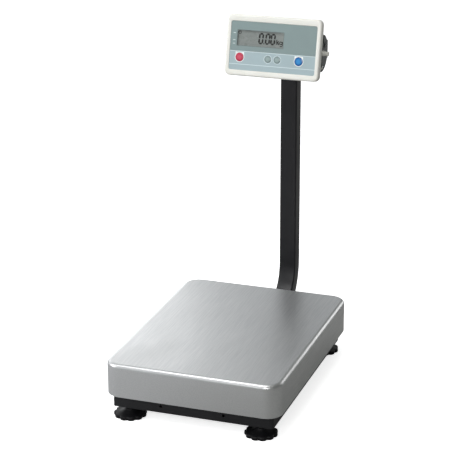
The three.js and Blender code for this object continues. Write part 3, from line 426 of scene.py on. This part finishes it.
# ---- Column ----
# A rectangular steel tube, drawn round one bend and welded to its flange, in the frame's black coat.
# A moulded cap closes its top, and the load cell's cable runs up inside it.
COLUMN_CORNER = 4 * MM
COLUMN_WALL = 2 * MM
COLUMN_DEPTH = 37 * MM
COLUMN_BEND = 79 * MM
column_low, column_high = (np.array(corner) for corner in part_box("column_tube"))
column_width = column_high[0] - column_low[0]


def column_surface():
    """A rounded rectangle carried along the leg, round a quarter circle and up the column.

    The tube's bore is the same path with a smaller rectangle, carried back down.
    """
    bend = COLUMN_BEND + COLUMN_DEPTH / 2
    middle_y, middle_z = column_high[1] - COLUMN_DEPTH / 2, column_low[2] + COLUMN_DEPTH / 2
    swing = np.radians(np.linspace(0, 90, 25))
    path_y = np.concatenate([[column_low[1]], middle_y - bend + bend * np.sin(swing), [middle_y]])
    path_z = np.concatenate([[middle_z], middle_z + bend * (1 - np.cos(swing)), [column_high[2]]])
    lean = np.concatenate([[0.0], swing, [np.pi / 2]])
    loops = []
    for wall in (0.0, COLUMN_WALL):
        width, depth = column_width - 2 * wall, COLUMN_DEPTH - 2 * wall
        across, deep = rounded_rows([width], [depth], [COLUMN_CORNER - wall + 1e-5], 7)
        y = path_y[:, None] - deep * np.sin(lean)[:, None]
        z = path_z[:, None] + deep * np.cos(lean)[:, None]
        loops.append(np.stack([across + 0 * y, y, z], -1))
    return np.concatenate([loops[0], loops[1][::-1]])


column_shell = surface(column_surface(), along=True)
make_piece("bent_column", [column_shell], powder_black, "base", "column_tube", 30.0)

moulded_black, tree, shader = new_material("moulded_black")
speck = noise(tree, 30, 3)
feed(shader, "Base Color", blended(tree, speck, (0.013, 0.013, 0.014), (0.022, 0.022, 0.023)))
feed(shader, "Roughness", ranged(tree, speck, 0.3, 0.7, 0.38, 0.52))
dented(tree, shader, noise(tree, 1100, 2), 0.12, 0.0003)
cable_black, tree, shader = new_material("cable_sheath")
speck = noise(tree, 45, 3)
feed(shader, "Base Color", blended(tree, speck, (0.014, 0.014, 0.015), (0.026, 0.026, 0.027)))
feed(shader, "Roughness", ranged(tree, speck, 0.3, 0.7, 0.42, 0.58))
dress(["column_cap", "power_inlet"], moulded_black)
dress(["signal_cable"], cable_black)

# ---- Spirit level ----
# A round ivory cup, glued to the column's leg behind the pan and filled with green liquid under a domed lens.
# A black ring printed on the lens shows where the bubble rests when the scale stands level.
vial_low, vial_high = (np.array(corner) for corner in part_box("level_vial"))
vial_middle = (vial_low + vial_high) / 2


def turned_surface(profile, centre, steps=48):
    """A profile of radius and height pairs turned about an upright axis through a centre."""
    angle = np.linspace(0, 2 * np.pi, steps, endpoint=False)
    radius, height = np.asarray(profile)[:, :1], np.asarray(profile)[:, 1:]
    x, y = centre[0] + radius * np.cos(angle), centre[1] + radius * np.sin(angle)
    return np.stack([x, y, height + 0 * angle], -1)


ivory, tree, shader = new_material("ivory_plastic")
cloud = noise(tree, 14, 4)
# The ivory is painted lighter along its sharp edges: a painted highlight where the rims catch light.
share = {0: near_edge(tree, 0.0012), 1: 0.35}
painted_edge_highlight = add(tree, "ShaderNodeMath", share, operation="MULTIPLY").outputs[0]
cream = blended(tree, ranged(tree, cloud, 0.35, 0.7), (0.79, 0.785, 0.73), (0.82, 0.815, 0.765))
feed(shader, "Base Color", blended(tree, painted_edge_highlight, cream, (0.9, 0.89, 0.82)))
feed(shader, "Roughness", ranged(tree, cloud, 0.3, 0.75, 0.4, 0.52))
dented(tree, shader, noise(tree, 1600, 2), 0.1, 0.0002)
shader.inputs["Subsurface Weight"].default_value = 0.04
shader.inputs["Subsurface Radius"].default_value = (0.004, 0.003, 0.002)
dress(["level_vial"], ivory)

liquid_green, tree, shader = new_material("level_liquid")
cloud = noise(tree, 120, 2)
feed(shader, "Base Color", blended(tree, cloud, (0.32, 0.62, 0.08), (0.42, 0.75, 0.14)))
feed(shader, "Roughness", ranged(tree, cloud, 0.3, 0.7, 0.05, 0.1))
shader.inputs["Coat Weight"].default_value = 0.6
ring_black, tree, shader = new_material("level_ring")
speck = noise(tree, 200, 2)
feed(shader, "Base Color", blended(tree, speck, (0.01, 0.01, 0.01), (0.02, 0.02, 0.02)))
shader.inputs["Roughness"].default_value = 0.5
floor_z, rim_z = vial_high[2] - 3.95 * MM, vial_high[2]
dome = [[0.2 * MM, floor_z + 0.05 * MM], [9.3 * MM, floor_z + 0.05 * MM], [9.3 * MM, rim_z - 1.4 * MM]]
swing = np.radians((15, 35, 55, 75, 88))
dome += [[9.3 * MM * math.cos(a), rim_z - 1.4 * MM + 0.9 * MM * math.sin(a)] for a in swing]
liquid = surface(turned_surface(dome, vial_middle), first_cap=True, last_cap=True)
make_piece("level_liquid", [liquid], liquid_green, "base")
band = [[4.2 * MM, rim_z - 0.58 * MM], [4.7 * MM, rim_z - 0.6 * MM]]
band += [[4.7 * MM, rim_z - 0.42 * MM], [4.2 * MM, rim_z - 0.4 * MM]]
ring = surface(turned_surface(band, vial_middle), along=True)
make_piece("level_ring", [ring], ring_black, "base")

# ---- Display yoke ----
# One 3 mm steel plate, cut to a fan at each end, folded into a U and painted black.
# The head hangs between its arms on the two clamp screws.
# Each fan has a window, and a curved slot in which a pin on the head rides.
tilt_joint = next(joint for joint in frame["joints"] if joint["name"] == "display_tilt")
press_joint = next(joint for joint in frame["joints"] if joint["name"] == "power_press")
pivot = np.array(tilt_joint["pos_m"], float)
inward = np.array(press_joint["axis"], float)
upward = np.array([0.0, -inward[2], inward[1]])
yoke_high = np.array(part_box("yoke")[1])
YOKE_SHEET = 3 * MM
YOKE_BEND = 14 * MM


def filled(outline, holes, place):
    """A flat sheet with holes, cut into triangles and carried into space by a placing function."""
    loops = [np.asarray(outline, float)] + [np.asarray(hole, float) for hole in holes]
    flat = [[Vector((p[0], p[1], 0.0)) for p in loop] for loop in loops]
    points = np.concatenate(loops)
    return place(points[:, 0], points[:, 1]), [list(face) for face in tessellate_polygon(flat)]


def loop_of(x, y, radius, steps):
    """Points round a circle."""
    angle = np.linspace(0, 2 * np.pi, steps, endpoint=False)
    return np.stack([x + radius * np.cos(angle), y + radius * np.sin(angle)], -1)


def plate(outline, holes, place, front, back):
    """A flat plate: the outline filled at its front and its back, and a wall round its edge and each hole."""
    shells_points, shells_faces, count = [], [], 0
    for level in (front, back):
        points, faces = filled(outline, holes, lambda a, b: place(a, level, b))
        shells_points.append(points)
        shells_faces += [[count + k for k in face] for face in faces]
        count += len(points)
    total, start = count // 2, 0
    for loop in [outline] + list(holes):
        n = len(loop)
        k = np.arange(n)
        near, after = start + k, start + (k + 1) % n
        walls = np.stack([near, after, total + after, total + near], -1)
        shells_faces += walls.tolist()
        start += n
    return np.concatenate(shells_points), shells_faces


def beside_pivot(side):
    """A placing function for flat shapes square to the tilt axis, on one side of the head."""
    return lambda u, x, v: np.stack([0 * u + side * x, pivot[1] + u, pivot[2] + v], -1)


def yoke_shells():
    """Two fans with a web strip between them.

    Each fan is a flat outline with a window and a bore, given one sheet's thickness. The strip is a U with
    round bends, carried across the web's height and back one sheet further in.
    """
    reach = yoke_high[1] - pivot[1]
    half_x, web = yoke_high[0], 20 * MM
    rim, slot_in, slot_out = 42 * MM, 31.7 * MM, 39.3 * MM
    web_turn = math.degrees(math.asin(web / rim))
    fan_turn, slot_foot, slot_end = 68, -99, -62
    straight = [(reach - YOKE_BEND, -web), (reach - YOKE_BEND, web)]
    fan_top = arc((0, 0), rim, web_turn, fan_turn, 18)
    hub = arc((0, 0), 6.5 * MM, fan_turn, 360 + slot_foot, 20)
    pin_slot = [arc((0, 0), slot_in, slot_foot, slot_end, 14), arc((0, 0), slot_out, slot_end, slot_foot, 16)]
    fan_foot = arc((0, 0), rim, slot_foot, -web_turn, 28)
    outline = np.concatenate([straight, fan_top, hub, *pin_slot, fan_foot])
    window_x, window_y = rounded_rows([15 * MM], [9 * MM], [2 * MM], 5)
    out, across = window_x[0] + 21.5 * MM, window_y[0]
    c, s = math.cos(math.radians(44)), math.sin(math.radians(44))
    window = np.stack([out * c - across * s, out * s + across * c], -1)
    bore = loop_of(0, 0, 2.8 * MM, 24)
    shells = []
    for side in (-1, 1):
        shells.append(plate(outline, [window, bore], beside_pivot(side), half_x - YOKE_SHEET, half_x))
    swing = np.radians(np.linspace(0, 90, 9))
    rows = np.array([-web, web])
    faces_of_strip = []
    for radius in (YOKE_BEND, YOKE_BEND - YOKE_SHEET):
        x = half_x - YOKE_BEND + radius * np.cos(swing)
        y = reach - YOKE_BEND + radius * np.sin(swing)
        x, y = np.concatenate([x, -x[::-1]])[:, None], np.concatenate([y, y[::-1]])[:, None]
        faces_of_strip.append(np.stack([x + 0 * rows, pivot[1] + y + 0 * rows, pivot[2] + rows + 0 * x], -1))
    ring = np.concatenate([faces_of_strip[0], faces_of_strip[1][:, ::-1]], axis=1)
    shells.append(surface(ring, around=True, first_cap=True, last_cap=True))
    return shells


yoke_black, tree, shader = new_material("yoke_black")
cloud = noise(tree, 18, 4)
paint = blended(tree, cloud, (0.04, 0.046, 0.049), (0.055, 0.063, 0.066))
# Its edges are painted darker than the plate, a painted shade that makes the rim read black.
feed(shader, "Base Color", blended(tree, near_edge(tree, 0.0006), paint, (0.014, 0.014, 0.016)))
feed(shader, "Roughness", ranged(tree, cloud, 0.3, 0.7, 0.24, 0.36))
dented(tree, shader, noise(tree, 800, 2), 0.08, 0.0003)
shader.inputs["Coat Weight"].default_value = 0.35
shader.inputs["Coat Roughness"].default_value = 0.2
make_piece("folded_yoke", yoke_shells(), yoke_black, "base", "yoke")

# ---- Clamp knob ----
# A plastic knob, moulded over the right clamp screw, that locks the head's tilt. It is the case's ivory,
# painted a darker grey as a painted shade.
# It has a round skirt against the yoke and a waisted wing to grip.


def knob_surface():
    """A section carried out along the tilt axis: a circle at the skirt that passes into a flattened round.

    The section narrows to a waist and then flares a little, and its corners grow squarer towards the end.
    """
    start, reach = yoke_high[0] + 0.3 * MM, 15 * MM
    steps = np.array([0, 0, 0.04, 0.14, 0.2, 0.3, 0.42, 0.55, 0.68, 0.8, 0.9, 0.96, 0.99, 1.0, 1.0])
    wide = np.array([0.3, 6.3, 6.75, 6.75, 6.5, 5.6, 4.9, 4.6, 4.5, 4.7, 4.95, 4.9, 4.6, 4.1, 0.3]) * MM
    thin = np.array([0.3, 6.3, 6.75, 6.75, 6.4, 5.0, 3.6, 3.0, 2.7, 2.5, 2.4, 2.3, 2.0, 1.6, 0.12]) * MM
    angle = np.linspace(0, 2 * np.pi, 40, endpoint=False)
    square = np.clip((steps - 0.2) / 0.4, 0, 1)[:, None]
    power = 1 - 0.35 * square
    c, s = np.cos(angle), np.sin(angle)
    along = wide[:, None] * np.sign(c) * np.abs(c) ** power
    across = thin[:, None] * np.sign(s) * np.abs(s) ** power
    x = start + steps * reach
    lean = math.radians(-8)
    y = pivot[1] + across * math.cos(lean) - along * math.sin(lean)
    z = pivot[2] + across * math.sin(lean) + along * math.cos(lean)
    return np.stack([x[:, None] + 0 * y, y, z], -1)


knob_ivory_painted_shade, tree, shader = new_material("knob_plastic")
cloud = noise(tree, 40, 4)
# The case's ivory is painted down to a darker grey here: a painted shade on the knob and the left cap.
feed(shader, "Base Color", blended(tree, cloud, (0.47, 0.47, 0.43), (0.54, 0.54, 0.49)))
feed(shader, "Roughness", ranged(tree, cloud, 0.3, 0.75, 0.36, 0.5))
dented(tree, shader, noise(tree, 1500, 2), 0.12, 0.0002)
knob_shell = surface(knob_surface(), first_cap=True, last_cap=True)
node = "clamp_knob_right"
make_piece("winged_knob_right", [knob_shell], knob_ivory_painted_shade, "knob_right", node, 40)

# ---- Left clamp cap ----
# A low moulded cap is pressed onto the left clamp screw.
# It is ribbed round its edge, with a slot across it that a coin turns.


def cap_surface():
    """A short profile carried out along the tilt axis, whose radius ripples 30 times round its edge."""
    start = yoke_high[0] + 0.3 * MM
    steps = np.array([0.0, 0.0, 0.15, 0.5, 3.3, 3.8, 3.8]) * MM
    sizes = np.array([0.3, 6.4, 6.65, 6.8, 6.8, 6.6, 0.3]) * MM
    angle = np.linspace(0, 2 * np.pi, 180, endpoint=False)
    ribbed = np.clip(sizes / (6.8 * MM) - 0.9, 0, 1)[:, None] * 10
    radius = sizes[:, None] - 0.28 * MM * ribbed * (0.5 - 0.5 * np.cos(30 * angle))
    x = -(start + steps)[:, None] + 0 * radius
    return np.stack([x, pivot[1] + radius * np.cos(angle), pivot[2] + radius * np.sin(angle)], -1)


coin_x, coin_y = rounded_rows([11 * MM], [1.6 * MM], [0.5 * MM], 4)
cap_start = yoke_high[0] + 4.1 * MM
coin_slot = np.stack([coin_x[0], coin_y[0]], -1)
disc = plate(loop_of(0, 0, 6.2 * MM, 60), [coin_slot], beside_pivot(-1), cap_start, cap_start + 1.35 * MM)
cap_shells = [surface(cap_surface(), first_cap=True, last_cap=True), disc]
# The cap takes the knob's darker grey, a painted shade of the case's ivory.
make_piece("coin_cap_left", cap_shells, knob_ivory_painted_shade, "cap_left", "clamp_cap_left", 40)

# ---- Display head: the rear shell ----
# Ivory moulded plastic: a flat back plate carrying a hollow drum that turns between the yoke's arms.
# A small pin on each end of the drum rides in the yoke's curved slot and ends the tilt.
PIVOT_DEPTH, PIVOT_DROP = 23.5 * MM, 4 * MM
face_middle = pivot - PIVOT_DEPTH * inward + PIVOT_DROP * upward
HEAD_WIDTH, HEAD_TOP, HEAD_FOOT, HEAD_DEPTH = 222 * MM, 70.4 * MM, -68.5 * MM, 16 * MM
DRUM_RADIUS, DRUM_HALF, DRUM_EDGE = 51 * MM, 104 * MM, 7 * MM


def on_head(x, depth, height):
    """Points given across the face, into the head and up the face, carried into space."""
    x, depth, height = np.broadcast_arrays(x, depth, height)
    place = face_middle + depth[..., None] * inward + height[..., None] * upward
    place[..., 0] += x
    return place


def drum_surface():
    """A profile with rounded ends turned about the pivot, each circle cut off by the back plate's plane."""
    turn_in = np.radians(np.linspace(0, 90, 9))
    flat_end = DRUM_RADIUS - DRUM_EDGE
    spans = ((0.4 * MM, 7.4 * MM, 4), (7.7 * MM, 12 * MM, 8), (14 * MM, flat_end, 6))
    r = [np.linspace(*span) for span in spans]
    r = np.concatenate([*r, flat_end + DRUM_EDGE * np.sin(turn_in[1:])])
    x = np.concatenate([np.full(18, DRUM_HALF), DRUM_HALF - DRUM_EDGE * (1 - np.cos(turn_in[1:]))])
    r, x = np.concatenate([r, r[::-1]]), np.concatenate([x, -x[::-1]])
    cut = PIVOT_DEPTH - HEAD_DEPTH
    limit = np.where(r > cut, np.arccos(np.clip(-cut / np.maximum(r, 1e-6), -1, 1)), np.pi)
    angle = np.linspace(-1, 1, 73) * limit[:, None]
    r = r[:, None]
    return x[:, None] + 0 * angle, PIVOT_DEPTH + r * np.cos(angle), -PIVOT_DROP + r * np.sin(angle)


def drum_shell():
    """The drum's outer surface as a closed cap over the back plate, with its cut edge filled flat."""
    x, depth, height = drum_surface()
    points = on_head(x, depth, height)
    flat, faces = surface(points, around=False)
    rows, cols = x.shape
    starts = [k * cols for k in range(rows - 1)]
    faces += [[k, k + cols, k + 2 * cols - 1, k + cols - 1] for k in starts]
    return flat, faces


lid_x, lid_y = rounded_rows([HEAD_WIDTH - 5.6 * MM], [HEAD_TOP - HEAD_FOOT - 5.6 * MM], [9.2 * MM], 9)
lid = np.stack([lid_x[0], lid_y[0] + (HEAD_TOP + HEAD_FOOT) / 2], -1)
rear = [drum_shell(), plate(lid, [], on_head, HEAD_DEPTH - 2.5 * MM, HEAD_DEPTH - 0.02 * MM)]
PIN_ORBIT, PIN_TURN = 35.5 * MM, math.radians(-68)
pin_depth = PIVOT_DEPTH + PIN_ORBIT * math.cos(PIN_TURN)
pin_height = -PIVOT_DROP + PIN_ORBIT * math.sin(PIN_TURN)
for side in (-1, 1):
    steps = np.array([103.0, 108.8, 109.3, 109.5, 109.5]) * MM
    sizes = np.array([3.2, 3.2, 2.9, 2.3, 0.2]) * MM
    angle = np.linspace(0, 2 * np.pi, 24, endpoint=False)
    x = side * steps[:, None] + 0 * angle
    depth, height = pin_depth + sizes[:, None] * np.cos(angle), pin_height + sizes[:, None] * np.sin(angle)
    rear.append(surface(on_head(x, depth, height), first_cap=True, last_cap=True))
make_piece("rear_housing", rear, ivory, "display_head", "rear_shell", 40.0)

# ---- Display head: the front shell ----
# Ivory moulded plastic: a tray with softly rounded edges, open at the back.
# Its front has a seat for the printed sheet.
# The seat has an opening for the readout and one for each key.
FACE_WIDTH, FACE_HEIGHT = 202 * MM, 110 * MM


def bezel_surface():
    """Rounded rectangles from the seat's edge out over the rim, round the front edge and down the side.

    They then run back up inside one wall and join the seat's back. Each row holds a width, a height, a corner
    radius, how far its middle has moved from the face's to the head's, and a depth.
    """
    middle, tall = (HEAD_TOP + HEAD_FOOT) / 2, HEAD_TOP - HEAD_FOOT

    def on_face(more, radius, share, depth):
        """A row a little larger than the face."""
        return FACE_WIDTH + more * MM, FACE_HEIGHT + more * MM, radius * MM, share, depth * MM

    def on_side(less, radius, depth):
        """A row a little smaller than the head."""
        return HEAD_WIDTH - less * MM, tall - less * MM, radius * MM, 1.0, depth * MM

    rows = [on_face(-6, 3, 0.0, 0.8), on_face(0.6, 4.3, 0.0, 0.8), on_face(0.6, 4.3, 0.0, -0.2)]
    rows += [on_face(1.6, 4.8, 0.02, -0.7), on_face(3.4, 5.6, 0.1, -0.95), on_side(9.4, 8, -1.0)]
    for angle in np.radians(np.linspace(8, 90, 8)):
        inset = 0.1 * MM + 4.2 * MM * (1 - math.sin(angle))
        depth = -1.0 * MM + 4.2 * MM * (1 - math.cos(angle))
        rows.append((HEAD_WIDTH - 2 * inset, tall - 2 * inset, 12 * MM - inset * 0.9, 1.0, depth))
    rows += [(HEAD_WIDTH, tall - 0.2 * MM, 12 * MM, 1.0, depth * MM) for depth in (6.0, 11.0, 15.4)]
    rows += [on_side(0.6, 11.7, 15.9), on_side(1.2, 11.4, 16), on_side(4.4, 9.8, 16), on_side(5, 9.5, 15.7)]
    rows += [on_side(5, 9.5, 2.8), on_face(-6, 3, 0.0, 2.8)]
    width, height, radius, share, depth = (np.array(column) for column in zip(*rows))
    x, y = rounded_rows(width, height, radius, 10)
    return on_head(x, depth[:, None], y + share[:, None] * middle)


# Each key's middle across and up the face, and its radius, in millimetres.
KEYS = {
    "power_key": (-77.0, -26.0, 9.7),
    "unit_key": (-10.0, -26.4, 7.9),
    "hold_key": (12.0, -26.4, 7.9),
    "zero_key": (62.5, -26.0, 9.7),
}
# The readout's left, right, bottom and top on the face.
READOUT = (-84.8 * MM, 23.6 * MM, 0.5 * MM, 34.8 * MM)


def readout_loop(grow):
    """A rounded rectangle round the readout, grown by a margin."""
    x0, x1, y0, y1 = READOUT
    x, y = rounded_rows([x1 - x0 + 2 * grow], [y1 - y0 + 2 * grow], [1 * MM], 4)
    return np.stack([x[0] + (x0 + x1) / 2, y[0] + (y0 + y1) / 2], -1)


key_holes = [loop_of(x * MM, h * MM, (r + 0.3) * MM, 48) for x, h, r in KEYS.values()]
seat_x, seat_y = rounded_rows([FACE_WIDTH - 5 * MM], [FACE_HEIGHT - 5 * MM], [3 * MM], 6)
seat_edge = np.stack([seat_x[0], seat_y[0]], -1)
seat = plate(seat_edge, [readout_loop(1.8 * MM)] + key_holes, on_head, 0.8 * MM, 2.8 * MM)
tray = [surface(bezel_surface(), along=True), seat]
make_piece("front_housing", tray, ivory, "display_head", "front_shell", 38.0)

# ---- Printed face sheet ----
# A satin polycarbonate sheet printed from behind: a grey-green field over a pale blue one, with white lines.
# White tabs stand behind the two large keys and pale rings round the two small ones. It carries no words.
face_outline_x, face_outline_y = rounded_rows([FACE_WIDTH], [FACE_HEIGHT], [4 * MM], 8)
face_outline = np.stack([face_outline_x[0], face_outline_y[0]], -1)
sheet_print, tree, shader = new_material("face_print")
spot = add(tree, "ShaderNodeAttribute", attribute_name="face_mm").outputs["Vector"]


def vector_step(operation, first, second=(0, 0, 0), output="Vector"):
    """One step of vector arithmetic in the sheet's material."""
    return add(tree, "ShaderNodeVectorMath", {0: first, 1: second}, operation=operation).outputs[output]


def box_mask(x0, x1, y0, y1):
    """One inside a printed rectangle and nought outside, with an edge a tenth of a millimetre soft."""
    gap = vector_step("SUBTRACT", spot, ((x0 + x1) / 2, (y0 + y1) / 2, 0))
    past = vector_step("SUBTRACT", vector_step("ABSOLUTE", gap), ((x1 - x0) / 2, (y1 - y0) / 2, 0))
    parts = add(tree, "ShaderNodeSeparateXYZ", {"Vector": past})
    sides = {0: parts.outputs["X"], 1: parts.outputs["Y"]}
    worst = add(tree, "ShaderNodeMath", sides, operation="MAXIMUM").outputs[0]
    return ranged(tree, worst, 0.06, -0.06)


def ring_mask(x, y, radius, half_width):
    """One on a printed ring and nought off it."""
    far = vector_step("DISTANCE", spot, (x, y, 0), "Value")
    past = add(tree, "ShaderNodeMath", {0: far, 1: radius}, operation="SUBTRACT").outputs[0]
    off = add(tree, "ShaderNodeMath", {0: past}, operation="ABSOLUTE").outputs[0]
    return ranged(tree, off, half_width + 0.06, half_width - 0.06)


FIELD_GREEN, FIELD_BLUE = (0.225, 0.295, 0.295), (0.375, 0.475, 0.505)
WHITE, LINE_WHITE = (0.86, 0.9, 0.9), (0.66, 0.76, 0.78)
ink = blended(tree, box_mask(-120, 120, -12.2, 80), FIELD_BLUE, FIELD_GREEN)
ink = blended(tree, box_mask(-120, 120, -42.6, -41.3), ink, LINE_WHITE)
ink = blended(tree, box_mask(-120, 120, -13.2, -12.0), ink, LINE_WHITE)
for key, x0, x1 in (("power_key", -87.2, -66.6), ("zero_key", 52.4, 72.6)):
    ink = blended(tree, box_mask(x0, x1, -26.4, -14.4), ink, WHITE)
    x, h, r = KEYS[key]
    ink = blended(tree, ring_mask(x, h, r + 0.9, 0.75), ink, WHITE)
for x, h, r in (KEYS["unit_key"], KEYS["hold_key"]):
    ink = blended(tree, ring_mask(x, h, r + 1.2, 0.65), ink, (0.62, 0.72, 0.75))
ink = blended(tree, box_mask(-86.2, 25.0, -0.9, 36.2), ink, (0.16, 0.2, 0.2))
for h in (28, 12, 4):
    ink = blended(tree, box_mask(-95.0, -89.6, h - 0.8, h + 0.8), ink, (0.6, 0.68, 0.69))
drift = noise(tree, 30, 3)
faded = ranged(tree, drift, 0.3, 0.7, 0.0, 0.06)
feed(shader, "Base Color", blended(tree, faded, ink, (0.1, 0.12, 0.12)))
feed(shader, "Roughness", ranged(tree, drift, 0.3, 0.7, 0.34, 0.44))
dented(tree, shader, noise(tree, 2200, 2), 0.06, 0.0001)
sheet_shell = plate(face_outline, [readout_loop(0)] + key_holes, on_head, 0.0, 0.5 * MM)
sheet = make_piece("printed_sheet", [sheet_shell], sheet_print, "display_head", "face_sheet")


def across_face(piece):
    """Each point of a piece of the head, as metres across the face and metres up it."""
    spots = np.empty(len(piece.data.vertices) * 3)
    piece.data.vertices.foreach_get("co", spots)
    spots = spots.reshape(-1, 3) - face_middle
    return spots[:, 0], spots @ upward


across, up = across_face(sheet)
face_mm = np.stack([across, up, 0 * across], -1) / MM
sheet.data.attributes.new("face_mm", "FLOAT_VECTOR", "POINT").data.foreach_set("vector", face_mm.ravel())

# ---- Readout ----
# A grey reflective liquid crystal panel under a clear acrylic window, showing a resting weight of nought.
# The digits are seven-segment strokes, with a small unit beside them and a round mark at the top left.
crystal, tree, shader = new_material("readout_panel")
haze = noise(tree, 40, 3)
feed(shader, "Base Color", blended(tree, haze, (0.25, 0.275, 0.265), (0.29, 0.315, 0.3)))
feed(shader, "Roughness", ranged(tree, haze, 0.3, 0.7, 0.24, 0.34))
dress(["readout_module"], crystal)
clear, tree, shader = new_material("clear_acrylic")
shader.inputs["Base Color"].default_value = (0.03, 0.035, 0.035, 1)
feed(shader, "Roughness", ranged(tree, noise(tree, 80, 3), 0.3, 0.7, 0.03, 0.08))
shader.inputs["IOR"].default_value = 1.49
shader.inputs["Alpha"].default_value = 0.05
dress(["readout_window"], clear)
segment_ink, tree, shader = new_material("segment_ink")
speck = noise(tree, 300, 2)
feed(shader, "Base Color", blended(tree, speck, (0.006, 0.007, 0.006), (0.014, 0.015, 0.014)))
shader.inputs["Roughness"].default_value = 0.4
PANEL_FRONT = 2.72 * MM


def printed(outline, *holes):
    """A flat mark on the crystal panel, a tenth of a millimetre thick."""
    return plate(outline, list(holes), on_head, PANEL_FRONT, PANEL_FRONT + 0.1 * MM)


def stroke(start, end, width):
    """A straight stroke between two points with both ends cut to a point, as a six-sided plate."""
    a, b = np.array(start), np.array(end)
    way = (b - a) / np.linalg.norm(b - a)
    side = np.array([-way[1], way[0]]) * width / 2
    tip = way * width / 2
    six = np.array([a, a + tip + side, b - tip + side, b, b - tip - side, a + tip - side]) * MM
    return printed(six)


def digit(x, low, high, wide, lean, width):
    """The six lit strokes of a seven-segment nought, leaning a little to the right."""
    mid, gap = (low + high) / 2, 0.35
    at = lambda across, height: (x + across + lean * (height - low), height)
    corners_of = [at(0, low), at(wide, low), at(wide, mid), at(wide, high), at(0, high), at(0, mid)]
    strokes = []
    for k in range(6):
        a, b = np.array(corners_of[k]), np.array(corners_of[(k + 1) % 6])
        way = (b - a) / np.linalg.norm(b - a)
        strokes.append(stroke(a + way * gap, b - way * gap, width))
    return strokes


marks = []
for left in (-34.5, -19.0, -6.5):
    marks += digit(left, 7.8, 29.6, 8.1, 0.07, 3.9)
marks.append(printed(loop_of(-22.6 * MM, 7.6 * MM, 1.25 * MM, 20)))
for a, b in (((7.6, 7.4), (7.6, 19.4)), ((8.3, 11.4), (12.6, 16.0)), ((9.6, 12.6), (12.9, 7.4))):
    marks.append(stroke(a, b, 2.1))
bowl = loop_of(17.4 * MM, 11.6 * MM, 3.9 * MM, 28)
marks.append(printed(bowl, loop_of(17.4 * MM, 11.6 * MM, 2.2 * MM, 20)))
for a, b in (((21.0, 15.6), (21.0, 5.2)), ((21.2, 4.6), (14.8, 4.0))):
    marks.append(stroke(a, b, 1.9))
marks.append(printed(*[loop_of(-80.6 * MM, 29.6 * MM, r * MM, 28) for r in (3.5, 2.4)]))
make_piece("readout_digits", marks, segment_ink, "display_head")

# ---- Keys ----
# Four round glossy buttons, moulded in coloured plastic: red, two grey, and blue.
# Each is a shallow dome with a flange that holds it behind the shell's wall and a stem that meets the board.


def key_surface(x, h, r):
    """A domed profile turned about the key's axis, with a flange behind the wall and a stem to the board."""
    full = math.radians(62)
    swing = np.radians(np.linspace(2, 62, 10))
    rise = (1 - np.cos(swing)) / (1 - math.cos(full))
    crown = np.stack([(r - 0.9) * np.sin(swing) / math.sin(full), -0.9 + 0.55 * rise], -1)
    edge = np.array([[r - 0.45, -0.2], [r - 0.12, 0.05], [r, 0.45], [r, 3.1]])
    back_side = np.array([[r + 1.3, 3.1], [r + 1.3, 4.1], [3.0, 4.1], [3.0, 6.6], [0.05, 6.6]])
    profile = np.concatenate([crown, edge, back_side])
    angle = np.linspace(0, 2 * np.pi, 48, endpoint=False)
    radius, depth = profile[:, :1] * MM, profile[:, 1:] * MM
    return on_head(x * MM + radius * np.cos(angle), depth + 0 * angle, h * MM + radius * np.sin(angle))


def glossy_key_painted_highlight(name, middle, edge):
    """A glossy plastic whose colour passes from a lighter middle out to a darker edge by the key's own
    radius: a painted highlight on the dome.
    """
    material, tree, shader = new_material(name)
    out = add(tree, "ShaderNodeAttribute", attribute_name="from_middle").outputs["Fac"]
    feed(shader, "Base Color", blended(tree, ranged(tree, out, 0.25, 1.0), middle, edge))
    feed(shader, "Roughness", ranged(tree, noise(tree, 90, 3), 0.3, 0.7, 0.16, 0.26))
    shader.inputs["Coat Weight"].default_value = 0.4
    shader.inputs["Coat Roughness"].default_value = 0.08
    return material


# Each key's lighter middle colour is a painted highlight.
key_red = glossy_key_painted_highlight("key_red", (0.6, 0.075, 0.125), (0.42, 0.025, 0.06))
key_blue = glossy_key_painted_highlight("key_blue", (0.03, 0.26, 0.62), (0.006, 0.09, 0.3))
key_grey = glossy_key_painted_highlight("key_grey", (0.3, 0.38, 0.375), (0.2, 0.27, 0.27))
for name, material, slot_name in (("power_key", key_red, "red_key"), ("unit_key", key_grey, "grey_key"),
                                  ("hold_key", key_grey, "grey_key"), ("zero_key", key_blue, "blue_key")):
    x, h, r = KEYS[name]
    dome = surface(key_surface(x, h, r), first_cap=True, last_cap=True)
    body = name.replace("_key", "_button")
    button = make_piece(f"domed_{name}", [dome], material, body, name, 45.0)
    across, up = across_face(button)
    out = np.hypot(across - x * MM, up - h * MM) / (r * MM)
    button.data.attributes.new("from_middle", "FLOAT", "POINT").data.foreach_set("value", out)

# ---- Inside the head ----
# A green glass-fibre circuit board is screwed to four posts behind the readout.
# A rechargeable battery pack, shrink-wrapped in dark blue film, lies in the drum.
board_green, tree, shader = new_material("board_green")
grid = {"Vector": coordinate(tree, "Object"), "Scale": 90.0, "Mortar Size": 0.012}
tracks = add(tree, "ShaderNodeTexBrick", grid).outputs["Fac"]
feed(shader, "Base Color", blended(tree, tracks, (0.02, 0.12, 0.06), (0.035, 0.2, 0.1)))
feed(shader, "Roughness", ranged(tree, noise(tree, 60, 2), 0.3, 0.7, 0.3, 0.42))
dress(["circuit_board"], board_green)
wrap_blue, tree, shader = new_material("battery_wrap")
crinkle = noise(tree, 45, 5)
feed(shader, "Base Color", blended(tree, crinkle, (0.04, 0.06, 0.13), (0.07, 0.1, 0.2)))
feed(shader, "Roughness", ranged(tree, crinkle, 0.3, 0.7, 0.25, 0.4))
dented(tree, shader, crinkle, 0.3, 0.0006)
dress(["battery_pack"], wrap_blue)
